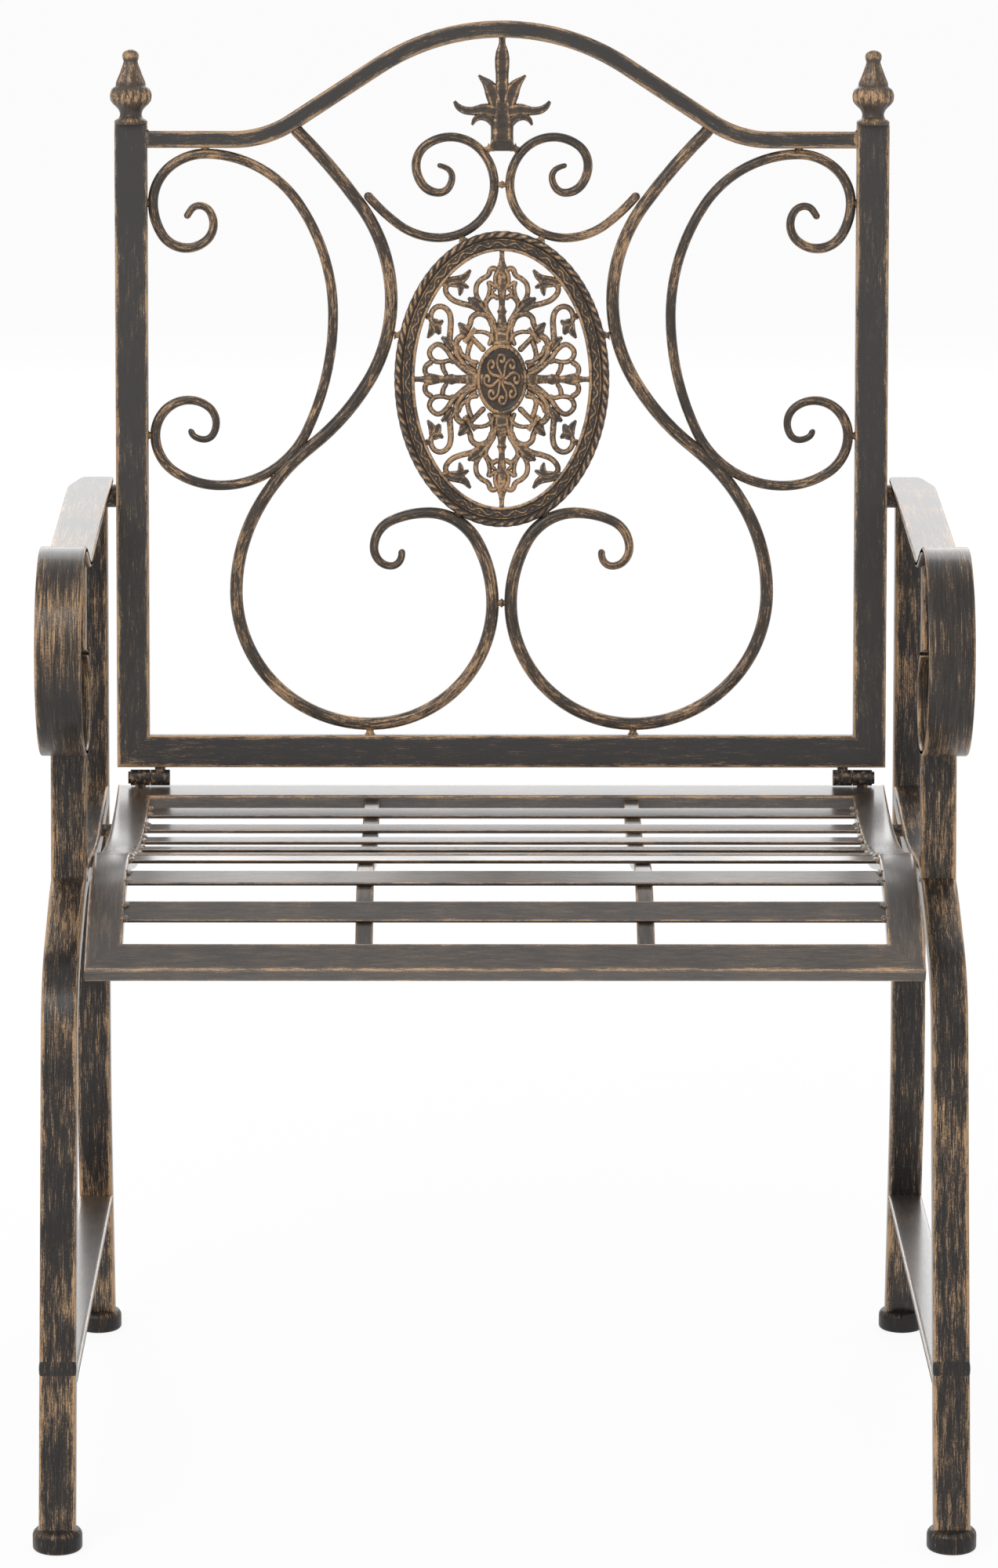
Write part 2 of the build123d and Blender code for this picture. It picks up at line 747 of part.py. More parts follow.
pin_start = back_barrel_x - barrel_length
pin_length = 2 * barrel_length + barrel_gap
pin = turned_bar(pin_start, pin_length, pin_diameter / 2)
pin = pin + turned_bar(pin_start + pin_length, pin_head_height, pin_head_radius)
run_hole = turned_bar(pin_start - 1, pin_length, pin_diameter / 2 + pin_play)
nub_low = seat_below_hinge + rail_depth / 2
nub = HINGE * Pos(seat_barrel_x + barrel_length / 2, 0, -nub_low / 2) * Box(nub_width, nub_depth, nub_low)
seat_barrel = turned_bar(seat_barrel_x, barrel_length, barrel_radius) + nub - rear_rail - pin
nub = BACK * Pos(back_barrel_x - barrel_length / 2, back_start / 2, 0) * Box(nub_width, back_start, nub_depth)
back_barrel = turned_bar(pin_start, barrel_length, barrel_radius) + nub - run_hole
pair("hinge_barrel_seat", seat_barrel)
pair("hinge_barrel_back", back_barrel)
pair("hinge_pin", pin)

# Pegs on the rear legs that stop the back from leaning further
peg_back = back_depth / 2 + seated + peg_diameter / 2
peg_spot = BACK.from_local_coords((0, peg_up, -peg_back))
peg = SIDE.offset(back_half - peg_behind) * Pos(peg_spot.Y, peg_spot.Z, 0) * Cylinder(
    peg_diameter / 2, peg_behind + side_gap, align=to_right
)
peg = peg - arm
pair("back_stop", peg)

pair("back_post", BACK * post)
parts["back_bottom_rail"] = BACK * bottom_rail
parts["back_top_rail"] = BACK * top_rail
pair("finial", BACK * finial)
pair("lyre_rod", BACK * lyre)
pair("side_scroll", BACK * side_scroll)
pair("volute", BACK * volute)
parts["oval_medallion"] = BACK * medallion
parts["fleur_ornament"] = BACK * fleur

# Move the chair so that its box is centred over the origin, and write one file for each piece
boxes = [shape.bounding_box() for shape in parts.values()]
y_low = min(box.min.Y for box in boxes)
y_high = max(box.max.Y for box in boxes)
z_low = min(box.min.Z for box in boxes)
shift = Pos(0, -(y_low + y_high) / 2, -z_low)
os.makedirs("parts", exist_ok=True)
for name, shape in parts.items():
    export_step(shift * shape, "parts/%s.step" % name)
print("pieces", len(parts))
print("hinge line at y %.3f z %.3f" % (-(y_low + y_high) / 2, hinge_z - z_low))
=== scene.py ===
import json
import logging
from dataclasses import dataclass
from enum import Enum
from math import ceil, cos, degrees, hypot, pi, radians, sin, sqrt, tan
from typing import Callable, Sequence
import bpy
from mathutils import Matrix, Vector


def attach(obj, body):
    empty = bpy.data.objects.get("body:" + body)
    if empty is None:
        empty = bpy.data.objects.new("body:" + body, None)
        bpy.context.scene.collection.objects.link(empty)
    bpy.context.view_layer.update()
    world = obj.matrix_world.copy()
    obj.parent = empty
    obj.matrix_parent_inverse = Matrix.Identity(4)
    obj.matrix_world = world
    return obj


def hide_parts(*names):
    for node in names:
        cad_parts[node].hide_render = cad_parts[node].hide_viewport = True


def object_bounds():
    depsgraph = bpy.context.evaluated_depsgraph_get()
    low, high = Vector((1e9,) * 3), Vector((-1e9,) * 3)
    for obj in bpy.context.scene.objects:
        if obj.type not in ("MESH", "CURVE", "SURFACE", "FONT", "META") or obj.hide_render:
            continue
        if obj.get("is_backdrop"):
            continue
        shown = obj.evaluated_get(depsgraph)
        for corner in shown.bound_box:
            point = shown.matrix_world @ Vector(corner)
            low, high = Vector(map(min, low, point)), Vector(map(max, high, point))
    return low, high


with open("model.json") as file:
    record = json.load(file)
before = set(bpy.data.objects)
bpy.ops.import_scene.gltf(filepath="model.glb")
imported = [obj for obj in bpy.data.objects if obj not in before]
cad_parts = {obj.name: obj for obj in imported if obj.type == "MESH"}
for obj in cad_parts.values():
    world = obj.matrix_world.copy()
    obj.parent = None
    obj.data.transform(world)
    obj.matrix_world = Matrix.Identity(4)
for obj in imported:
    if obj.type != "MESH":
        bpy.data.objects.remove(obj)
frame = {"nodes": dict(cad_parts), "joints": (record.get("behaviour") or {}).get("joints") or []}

from zlib import crc32

import bpy
import numpy as np
from mathutils import Matrix, Vector

# Garden armchair in black iron brushed with copper. Drawings are in millimetres, as in the CAD,
# with y = 0 on the hinge line of the back; meshes are in metres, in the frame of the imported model.

CAD_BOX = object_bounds()
log = logging.getLogger("garden_chair")
Array = np.ndarray
Shares = Callable[[Array], Array]
Material, Tree, Socket = bpy.types.Material, bpy.types.NodeTree, bpy.types.NodeSocket
MM = 0.001
METRE = 1000
HINGE = next(joint for joint in frame["joints"] if joint["name"] == "back_fold")
HINGE_Y = HINGE["pos_m"][1] / MM
HINGE_Z = HINGE["pos_m"][2] / MM
RECLINE = radians(7.0)
TINY = 1e-6  # smaller turns and steps count as none
STRAIGHT = 1e-9  # a run with less curvature counts as straight
END_INSET = 0.3  # share by which the unworn middle of an end is smaller than its rim
CREASE = radians(42)  # sharper edges are shaded as edges
SHIFTS, SHIFT_STEP, SHIFT_TILT = 997, 7.31, 0.37  # where on the brush pattern a piece begins
EDGE_WEAR = (0.0, 0.55, 0.9, 1.0, 0.9, 0.55, 0.0)  # across one rounded edge of a bar
BOW = 1 - np.cos(np.radians([8, 30, 50, 70]))  # stations of a round end, in radii from its tip
FLUTE_WEAR = 4.0  # copper lost in a flute for each share of the radius cut away


class Body(Enum):
    """Rigid bodies of the chair."""

    FRAME = "frame"
    BACK = "back"


class Slot(Enum):
    """Material slots of the record."""

    IRON = "brushed_iron"
    CAST = "cast_ornament"
    PLASTIC = "foot_plastic"


class Ending(Enum):
    """How a bar or rod stops."""

    FLAT = "flat"
    ROUND = "round"


# Lines of the drawings


def unit(angle: Array | float) -> Array:
    """Unit vectors at angles in radians: cosine and sine on a new last axis."""
    return np.stack([np.cos(angle), np.sin(angle)], -1)


def circle(count: int) -> Array:
    """Angles of even steps once round a circle."""
    return 2 * pi * np.arange(count) / count


def between(stations: Sequence[float], values: Sequence[float]) -> Shares:
    """Function that goes straight from each value to the next over the stations."""
    return lambda share: np.interp(share, stations, values)


@dataclass
class Track:
    """A smooth line made of straight runs and arcs in a flat drawing.

    Each run has a start point, a heading in radians, a length and a curvature to the left.
    """

    starts: Array
    headings: Array
    lengths: Array
    curves: Array

    @classmethod
    def run(cls, start: Sequence[float], angle: float, steps: Sequence[tuple]) -> "Track":
        """Chain straight runs and bends.

        Args:
            start: first point.
            angle: first heading in degrees.
            steps: (length,) for a straight run, (radius, turn to the left in degrees) for a bend.

        Returns:
            The line.
        """
        here = np.array(start, float)
        heading = radians(angle)
        rows = []
        for step in steps:
            if len(step) == 1:
                length, curve = step[0], 0.0
            else:
                length = step[0] * radians(abs(step[1]))
                curve = np.sign(step[1]) / step[0]
            rows.append((here[0], here[1], heading, length, curve))
            end = heading + length * curve
            if curve:
                here = here + np.array([sin(end) - sin(heading), cos(heading) - cos(end)]) / curve
            else:
                here = here + length * np.array([cos(heading), sin(heading)])
            heading = end
        return cls.of(rows)

    @classmethod
    def bends(cls, corners: Sequence[Sequence[float]], radii: Sequence[float]) -> "Track":
        """Polyline whose inner corners are rounded to the given radii.

        Args:
            corners: points of the polyline.
            radii: one radius for each inner corner.

        Returns:
            The line.
        """
        points = np.array(corners, float)
        sides = np.diff(points, axis=0)
        spans = np.hypot(*sides.T)
        angles = np.unwrap(np.arctan2(sides[:, 1], sides[:, 0]))
        turns = np.diff(angles)
        trims = np.array(radii) * np.tan(np.abs(turns) / 2)
        straight = spans - np.r_[0, trims] - np.r_[trims, 0]
        steps: list[tuple] = [(straight[0],)]
        for radius, turn, length in zip(radii, turns, straight[1:]):
            steps += [(radius, degrees(turn)), (length,)]
        return cls.run(points[0], degrees(angles[0]), steps)

    @classmethod
    def scroll(cls, knots: Sequence[Sequence[float]]) -> "Track":
        """Smooth scroll with two tangent arcs from each knot to the next.

        Args:
            knots: (x, y, heading in degrees).

        Returns:
            The line.
        """
        rows = []
        for (*first, leave), (*last, arrive) in zip(knots, knots[1:]):
            start, end = np.array(first, float), np.array(last, float)
            out, into = unit(radians(leave)), unit(radians(arrive))
            span = end - start
            along = span @ (out + into)
            spread = 2 * (1 - out @ into)
            if spread < TINY:
                reach = span @ span / (4 * span @ into)
            else:
                reach = (sqrt(along**2 + spread * span @ span) - along) / spread
            middle = (start + end + (out - into) * reach) / 2
            chord = (middle - start) / hypot(*(middle - start))
            onward = chord * (2 * chord @ out) - out
            rows += [cls._arc(start, middle, out), cls._arc(middle, end, onward)]
        return cls.of(rows)

    @classmethod
    def through(cls, points: Sequence[Sequence[float]]) -> "Track":
        """Smooth line through points, heading at each along the line between its neighbours."""
        angles = np.degrees(np.arctan2(*np.gradient(np.array(points, float), axis=0).T[::-1]))
        return cls.scroll(np.column_stack([points, angles]).tolist())

    @staticmethod
    def _arc(point: Array, target: Array, way: Array) -> tuple:
        """Arc that leaves in a given direction, and so turns by twice the angle from it to the chord.

        Args:
            point: start of the arc.
            target: its end.
            way: unit vector of its first heading.

        Returns:
            Row of (x, y, heading, length, curvature).
        """
        chord = target - point
        size = hypot(*chord)
        half = np.arctan2(way[0] * chord[1] - way[1] * chord[0], way @ chord)
        length = size if abs(half) < TINY else size * half / sin(half)
        return (*point, np.arctan2(way[1], way[0]), length, 2 * half / length)

    @classmethod
    def of(cls, rows: Sequence[tuple]) -> "Track":
        """Line from rows of (x, y, heading, length, curvature)."""
        table = np.array(rows, float)
        return cls(table[:, :2], table[:, 2], table[:, 3], table[:, 4])

    @property
    def total(self) -> float:
        """Length of the whole line."""
        return float(self.lengths.sum())

    def at(self, stations: Array) -> tuple[Array, Array]:
        """Points and unit tangents at distances from the start.

        On a run of curvature k from heading h, a distance d leads to
        (sin(h + kd) - sin h, cos h - cos(h + kd)) / k past its start.

        Args:
            stations: distances along the line.

        Returns:
            Points and tangents, one row for each station.
        """
        begins = np.r_[0, np.cumsum(self.lengths)[:-1]]
        which = np.clip(np.searchsorted(begins, stations, side="right") - 1, 0, len(begins) - 1)
        gone = stations - begins[which]
        heading, curve = self.headings[which], self.curves[which]
        now = heading + gone * curve
        flat = (np.abs(curve) < STRAIGHT)[:, None]
        first, last = unit(heading), unit(now)
        bent = (last - first)[:, ::-1] * [1, -1] / np.where(flat, 1.0, curve[:, None])
        return self.starts[which] + np.where(flat, gone[:, None] * first, bent), last

    def stations(self, run_step: float = 30.0, turn_step: float = 3.0) -> Array:
        """Distances close enough together to show every bend.

        Args:
            run_step: spacing on straight runs.
            turn_step: degrees between stations on arcs.

        Returns:
            Increasing distances from 0 to the total length.
        """
        ends = np.cumsum(self.lengths)
        marks = [np.zeros(1)]
        for end, length, curve in zip(ends, self.lengths, self.curves):
            count = max(1, ceil(length / run_step), ceil(degrees(abs(length * curve)) / turn_step))
            marks.append(end - length + length * np.arange(1, count + 1) / count)
        return np.concatenate(marks)

    def within(self, first: float, last: float) -> Array:
        """Stations of the stretch from a first distance to a last one."""
        marks = self.stations()
        return np.r_[first, marks[(marks > first + TINY) & (marks < last - TINY)], last]


@dataclass(frozen=True)
class Sheet:
    """A flat drawing placed in space: origin, directions across and up, and the face's normal."""

    origin: tuple
    across: tuple
    up: tuple
    normal: tuple

    def place(self, points: Array, off: Array | float = 0.0) -> Array:
        """Points of the drawing in space.

        Args:
            points: drawing points, last axis x and y.
            off: distance from the sheet along its normal.

        Returns:
            Points in millimetres, last axis x, y and z.
        """
        off = np.broadcast_to(np.asarray(off, float), points.shape[:-1])
        return (
            np.array(self.origin)
            + points[..., :1] * np.array(self.across)
            + points[..., 1:2] * np.array(self.up)
            + off[..., None] * np.array(self.normal)
        )


def side_sheet(x: float) -> Sheet:
    """Side view of the chair at a given x: y of the CAD drawing across, z up."""
    return Sheet((x, HINGE_Y, 0.0), (0, 1, 0), (0, 0, 1), (1, 0, 0))


BACK_SHEET = Sheet(
    (0.0, HINGE_Y, HINGE_Z),
    (1, 0, 0),
    (0, sin(RECLINE), cos(RECLINE)),
    (0, -cos(RECLINE), sin(RECLINE)),
)


# Meshes


@dataclass
class Patch:
    """Part of a mesh: points, faces, brush lengths for each face corner and wear for each point."""

    points: Array
    faces: list
    brush: Array
    wear: Array

    @classmethod
    def grid(
        cls, points: Array, along: Array, around: Array, wear: Array, loop: bool = False
    ) -> "Patch":
        """Surface over a grid whose last column joins the first.

        Args:
            points: grid of points, rows by columns by 3.
            along: brush length of each row, and one more in a loop.
            around: brush length of each column, and one more.
            wear: copper wear of each point, rows by columns.
            loop: the last row joins the first, or else fans close the first and the last row.

        Returns:
            The surface, with its faces outwards.
        """
        if not loop:
            points, along, wear = cls._ends(points, along, wear)
        rows, columns = points.shape[:2]
        index = np.arange(rows * columns).reshape(rows, columns)
        wide = np.hstack([index, index[:, :1]])
        wide = np.vstack([wide, wide[:1]]) if loop else wide
        corner = lambda table: np.stack(
            [table[:-1, :-1], table[:-1, 1:], table[1:, 1:], table[1:, :-1]], -1
        )
        quads = corner(wide).reshape(-1, 4)
        lengths, girths = np.meshgrid(along, around, indexing="ij")
        brush = np.stack([corner(lengths), corner(girths)], -1).reshape(-1, 2)
        flat, faces, worn = points.reshape(-1, 3), quads.tolist(), wear.reshape(-1)
        if not loop:
            for row, way in ((0, 1), (rows - 1, -1)):
                middle = np.full(columns, len(flat))
                flat = np.vstack([flat, points[row].mean(0)])
                worn = np.r_[worn, 0.0]
                faces += np.stack([middle, wide[row, 1:], wide[row, :-1]], 1)[:, ::way].tolist()
                brush = np.vstack([brush, np.tile([along[row], around.mean()], (3 * columns, 1))])
        patch = cls(flat, faces, brush, worn)
        return patch.turned() if patch.volume(quads) < 0 else patch

    @staticmethod
    def _ends(points: Array, along: Array, wear: Array) -> tuple[Array, Array, Array]:
        """Add a smaller, unworn row inside each end row, so that copper stays on the rim of an end.

        Args:
            points: grid of points.
            along: brush length of each row.
            wear: wear of each point.

        Returns:
            The same three with the two rows added.
        """
        first, last = (row + END_INSET * (row.mean(0) - row) for row in (points[0], points[-1]))
        blank = np.zeros_like(wear[:1])
        rows = np.concatenate([first[None], points, last[None]])
        return rows, np.r_[along[0], along, along[-1]], np.vstack([blank, wear, blank])

    def volume(self, quads: Array) -> float:
        """Signed volume swept by the quads, positive when they face outwards."""
        a, b, c, d = (self.points[quads[:, k]] - self.points.mean(0) for k in range(4))
        return float(np.sum(a * (np.cross(b, c) + np.cross(c, d))))

    def turned(self) -> "Patch":
        """Turn the faces the other way round.

        Returns:
            The same surface, each face with its corners in reverse.
        """
        sizes = np.array([len(face) for face in self.faces])
        begins = np.r_[0, np.cumsum(sizes)[:-1]]
        order = np.concatenate([np.arange(b + n - 1, b - 1, -1) for b, n in zip(begins, sizes)])
        return Patch(self.points, [face[::-1] for face in self.faces], self.brush[order], self.wear)

    def mirrored(self) -> "Patch":
        """The twin on the other side of the chair."""
        twin = Patch(self.points * np.array([-1.0, 1.0, 1.0]), self.faces, self.brush, self.wear)
        return twin.turned()

    def flipped(self, sheet: Sheet, sideways: bool) -> "Patch":
        """Mirror the surface in its drawing and turn its faces back outwards.

        Args:
            sheet: the drawing, about whose origin it is mirrored.
            sideways: mirror left and right, or else up and down.

        Returns:
            The mirrored surface.
        """
        axis = np.array(sheet.across if sideways else sheet.up)
        away = (self.points - np.array(sheet.origin)) @ axis
        return Patch(self.points - 2 * away[:, None] * axis, self.faces, self.brush, self.wear).turned()


def dress(
    name: str, patches: Sequence[Patch], material: Material, body: Body, node: str
) -> None:
    """Make one piece of the chair from its patches.

    Args:
        name: name of the piece.
        patches: its surfaces, in millimetres.
        material: its finish.
        body: the rigid body that it rides on.
        node: CAD node that it stands for.
    """
    counts = np.r_[0, np.cumsum([len(patch.points) for patch in patches])]
    points = np.concatenate([patch.points for patch in patches]) * MM
    faces = [[int(base) + k for k in face] for base, patch in zip(counts, patches) for face in patch.faces]
    mesh = bpy.data.meshes.new(name)
    mesh.from_pydata(points.tolist(), [], faces)
    shift = (crc32(name.encode()) % SHIFTS) * SHIFT_STEP
    brush = np.concatenate([patch.brush for patch in patches]) + [shift, SHIFT_TILT * shift]
    layer = mesh.uv_layers.new(name="brush")
    layer.data.foreach_set("uv", brush.astype(np.float32).ravel())
    worn = mesh.attributes.new("wear", "FLOAT", "POINT")
    worn.data.foreach_set("value", np.concatenate([patch.wear for patch in patches]).astype(np.float32))
    mesh.polygons.foreach_set("use_smooth", np.ones(len(faces), bool))
    mesh.set_sharp_from_angle(angle=CREASE)
    mesh.materials.append(material)
    mesh.update()
    piece = bpy.data.objects.new(name, mesh)
    bpy.context.scene.collection.objects.link(piece)
    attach(piece, body.value)
    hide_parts(node)
    log.info("%s: %d faces", name, len(faces))


def single(
    name: str, patches: Sequence[Patch], material: Material, body: Body
) -> None:
    """Make a piece in place of the CAD node of its name."""
    dress(f"{name}_brushed", patches, material, body, name)


def pair(
    name: str, patches: Sequence[Patch], material: Material, body: Body
) -> None:
    """Make a piece of the right side and its twin on the left."""
    single(f"{name}_right", patches, material, body)
    single(f"{name}_left", [patch.mirrored() for patch in patches], material, body)


@dataclass(frozen=True)
class Profile:
    """Closed outline carried along a line: points (out to the left, off the sheet), girth and wear."""

    points: Array
    girth: Array
    wear: Array

    @classmethod
    def of(cls, points: Array, wear: Array) -> "Profile":
        """Outline from its points, with its girth measured round them."""
        steps = np.hypot(*(np.roll(points, -1, 0) - points).T)
        return cls(points, np.r_[0, np.cumsum(steps)], wear)

    @classmethod
    def bar(
        cls, deep: float, wide: float, radius: float, soft: float = 1.6, wear: float | None = None
    ) -> "Profile":
        """Flat-sided bar with rounded edges.

        Args:
            deep: size in the plane of the line.
            wide: size across the line's plane.
            radius: radius of the edges.
            soft: width of the worn strip beside each edge.
            wear: wear all round, or none for wear along the edges alone.

        Returns:
            The outline, four arcs of 90 degrees with a support point on each side of an arc.
        """
        turns = np.radians(np.linspace(0, 90, len(EDGE_WEAR) - 2))
        arcs = []
        for quarter, (sx, sy) in enumerate(((1, 1), (-1, 1), (-1, -1), (1, -1))):
            angle = turns + quarter * pi / 2
            centre = np.array([sx * (deep / 2 - radius), sy * (wide / 2 - radius)])
            arc = centre + radius * unit(angle)
            before = arc[0] + soft * np.array([sin(angle[0]), -cos(angle[0])])
            after = arc[-1] + soft * np.array([-sin(angle[-1]), cos(angle[-1])])
            arcs += [before[None], arc, after[None]]
        edges = np.tile(EDGE_WEAR, 4)
        return cls.of(np.vstack(arcs), edges if wear is None else np.full(len(edges), wear))

    @classmethod
    def rod(
        cls, radius: float, sides: int = 18, squash: float = 1.0, wear: Array | float = 0.35
    ) -> "Profile":
        """Round or oval rod, with squash times the radius off the sheet."""
        points = radius * (unit(circle(sides)) * [1.0, squash])
        return cls.of(points, np.full(sides, wear))

    def finer(self, step: float) -> "Profile":
        """Divide the sides of the outline evenly.

        Args:
            step: greatest distance between points.

        Returns:
            The same outline with more points.
        """
        sides = np.diff(self.girth)
        counts = np.ceil(sides / step).astype(int)
        marks = np.concatenate([g + w * np.arange(n) / n for g, w, n in zip(self.girth, sides, counts)])
        round_trip = np.vstack([self.points, self.points[:1]])
        points = np.stack([np.interp(marks, self.girth, round_trip[:, axis]) for axis in (0, 1)], 1)
        return Profile.of(points, np.interp(marks, self.girth, np.r_[self.wear, self.wear[0]]))


def carried(
    track: Track,
    sheet: Sheet,
    profile: Profile,
    ending: Ending = Ending.FLAT,
    stations: Array | None = None,
    size: Shares | None = None,
    off: Shares | None = None,
    trim: tuple[Array, Array] | None = None,
) -> Patch:
    """Carry a profile along a line.

    A point is the line's point plus the profile's first value times the line's left normal, and the
    profile's second value off the sheet. A round end shrinks the profile as a quarter circle.

    Args:
        track: the line.
        sheet: where its drawing lies.
        profile: the outline that is carried.
        ending: flat or round ends.
        stations: distances to use, or none for the line's own.
        size: scale of the profile at a share of the length from 0 to 1.
        off: distance of the line from the sheet at a share of the length.
        trim: lengths cut off the start and the end at each point of the profile, for mitred ends.

    Returns:
        The surface.
    """
    marks = track.stations() if stations is None else stations
    size = size or np.ones_like
    scale = size(marks / track.total)
    if ending is Ending.ROUND:
        radius = np.ptp(profile.points[:, 0]) / 2
        first, last = radius * scale[0], radius * scale[-1]
        stop = track.total - last
        inner = marks[(marks > first) & (marks < stop)]
        marks = np.r_[first * BOW, first, inner, stop, track.total - (last * BOW)[::-1]]
        near = np.minimum(marks / first, (track.total - marks) / last).clip(0, 1)
        scale = size(marks / track.total) * np.sqrt(1 - (1 - near) ** 2)
    places = marks[:, None] + np.zeros(len(profile.points))
    if trim is not None:
        places = trim[0] + places * (1 - (trim[0] + trim[1]) / track.total)
    points, tangents = (part.reshape(*places.shape, 2) for part in track.at(places.ravel()))
    normals = np.stack([-tangents[..., 1], tangents[..., 0]], -1)
    flat = points + (scale[:, None] * profile.points[:, 0])[..., None] * normals
    lift = 0.0 if off is None else off(marks / track.total)[:, None]
    solid = sheet.place(flat, scale[:, None] * profile.points[None, :, 1] + lift)
    return Patch.grid(solid, marks, profile.girth, np.broadcast_to(profile.wear, solid.shape[:2]))


def straight(start: Sequence[float], end: Sequence[float]) -> Track:
    """Straight line between two points of a drawing."""
    way = np.subtract(end, start)
    return Track.run(start, degrees(np.arctan2(way[1], way[0])), [(float(hypot(*way)),)])


def turned(
    sheet: Sheet,
    centre: Sequence[float],
    heights: Array,
    radii: Array,
    wear: Array,
    ripple: Callable[[Array, Array], Array] | None = None,
    sides: int = 64,
) -> Patch:
    """Surface of revolution about a line that runs up the sheet.

    A point at height h and angle a is the radius at h, times one plus the ripple, round the line.

    Args:
        sheet: drawing that holds the axis.
        centre: foot of the axis in the drawing.
        heights: heights above the foot.
        radii: radius at each height.
        wear: wear at each height.
        ripple: share added to the radius at a height and an angle.
        sides: points round the axis.

    Returns:
        The surface.
    """
    high, turn = np.meshgrid(heights, circle(sides), indexing="ij")
    extra = np.zeros_like(high) if ripple is None else ripple(high, turn)
    radius = radii[:, None] * (1 + extra)
    flat = np.stack([centre[0] + radius * np.cos(turn), centre[1] + high], -1)
    worn = (wear[:, None] + FLUTE_WEAR * extra).clip(0, 1)
    around = 2 * pi * radii.max() * np.arange(sides + 1) / sides
    return Patch.grid(sheet.place(flat, radius * np.sin(turn)), heights, around, worn)


def lump(sheet: Sheet, centre: Sequence[float], half: Sequence[float], seed: float) -> Patch:
    """Weld bead.

    An ellipsoid whose radius is one plus two small sines of its longitude and latitude, shifted by the
    seed, so that no two beads look alike.

    Args:
        sheet: drawing that holds the bead.
        centre: place across, up and off the sheet.
        half: half sizes across, up and off the sheet.
        seed: any number.

    Returns:
        The bead.
    """
    rows, sides, brush, wear = 11, 20, 4, 0.7
    high, turn = np.meshgrid(np.radians(np.linspace(-84, 84, rows)), circle(sides), indexing="ij")
    radius = 1 + 0.12 * np.sin(3 * turn + seed) * np.cos(high)
    radius += 0.08 * np.sin(5 * turn + 2 * seed + 3 * high)
    level = radius * np.cos(high)
    x = centre[0] + half[0] * level * np.cos(turn)
    y = centre[1] + half[1] * radius * np.sin(high)
    points = sheet.place(np.stack([x, y], -1), centre[2] + half[2] * level * np.sin(turn))
    around = brush * np.linspace(0, 2 * pi, sides + 1)
    return Patch.grid(points, brush * high[:, 0], around, np.full(high.shape, wear))


def stud(start: Sequence[float], end: Sequence[float], radius: float) -> Patch:
    """Weld stud on the back, whose radius narrows by a half sine between its ends.

    Args:
        start: one end in the drawing of the back.
        end: the other end.
        radius: mean radius.

    Returns:
        The stud.
    """
    line = straight(start, end)
    marks = np.linspace(0, line.total, 9)
    waist = lambda share: 1.25 - 0.5 * np.sin(pi * share)
    return carried(line, BACK_SHEET, Profile.rod(radius, 14, wear=0.8), stations=marks, size=waist)


def leaf(sheet: Sheet, line: Track, widths: Sequence[float], thick: float, rows: int = 24) -> Patch:
    """Fleshy cast leaf along a curve.

    Its section is an oval with a raised rib along each edge and a hollow between them on the front.

    Args:
        sheet: drawing that holds the leaf.
        line: middle of the leaf.
        widths: half widths at even shares of the length.
        thick: half thickness at the widest place.
        rows: sections along the leaf.

    Returns:
        The leaf.
    """
    side, front = unit(circle(20)).T
    rib_at, rib_half, rib_high, hollow_wear = 0.66, 0.2, 0.3, 0.12
    ribs = np.exp(-(((np.abs(side) - rib_at) / rib_half) ** 2)) * (front > 0.1)
    section = np.stack([side, (front + rib_high * ribs) * thick / max(widths)], 1)
    profile = Profile.of(section, (hollow_wear + (1 - hollow_wear) * ribs).clip(0, 1))
    width = between(np.linspace(0, 1, len(widths)), widths)
    return carried(line, sheet, profile, stations=np.linspace(0, line.total, rows), size=width)


# Finishes


def linear(colour: str) -> tuple[float, float, float, float]:
    """Linear colour of an sRGB hex value, with full alpha."""
    value = np.array([int(colour[k : k + 2], 16) for k in (1, 3, 5)]) / 255
    return (*np.where(value <= 0.04045, value / 12.92, ((value + 0.055) / 1.055) ** 2.4).tolist(), 1.0)


def blank(owner: bpy.types.ID) -> Tree:
    """Empty the node tree of a material or a world.

    Args:
        owner: the material or world.

    Returns:
        The tree.
    """
    owner.use_nodes = True
    owner.node_tree.nodes.clear()
    return owner.node_tree


def add(tree: Tree, kind: str, links: dict, **settings: object) -> bpy.types.Node:
    """Add a node.

    Args:
        tree: the node tree.
        kind: type of shader node.
        links: input name or number to a value or an output socket.
        settings: properties of the node.

    Returns:
        The node.
    """
    node = tree.nodes.new("ShaderNode" + kind)
    for key, value in settings.items():
        setattr(node, key, value)
    for key, value in links.items():
        if isinstance(value, bpy.types.NodeSocket):
            tree.links.new(value, node.inputs[key])
        else:
            node.inputs[key].default_value = value
    return node


def worked(tree: Tree, operation: str, *values: object) -> Socket:
    """Result of a math node on values or sockets."""
    return add(tree, "Math", dict(enumerate(values)), operation=operation).outputs[0]


def mixed(tree: Tree, share: Socket, first: object, second: object) -> Socket:
    """Colour between two colours, the second one where the share is 1."""
    return add(tree, "Mix", {0: share, 6: first, 7: second}, data_type="RGBA").outputs[2]


def ramp(
    tree: Tree, value: Socket, low: float, high: float, top: float = 1.0, kind: str = "LINEAR"
) -> Socket:
    """Share that climbs from 0 to its top while a value goes from low to high."""
    span = {"Value": value, "From Min": low, "From Max": high, "To Max": top}
    return add(tree, "MapRange", span, interpolation_type=kind).outputs["Result"]


def noise(
    tree: Tree, vector: Socket, scale: tuple, detail: float = 1.0, rough: float = 0.5
) -> Socket:
    """Noise about 0.5, with scale cells for each unit of the coordinates."""
    mapped = add(tree, "Mapping", {"Vector": vector, "Scale": scale}).outputs[0]
    return add(
        tree, "TexNoise", {"Vector": mapped, "Scale": 1.0, "Detail": detail, "Roughness": rough}
    ).outputs[0]


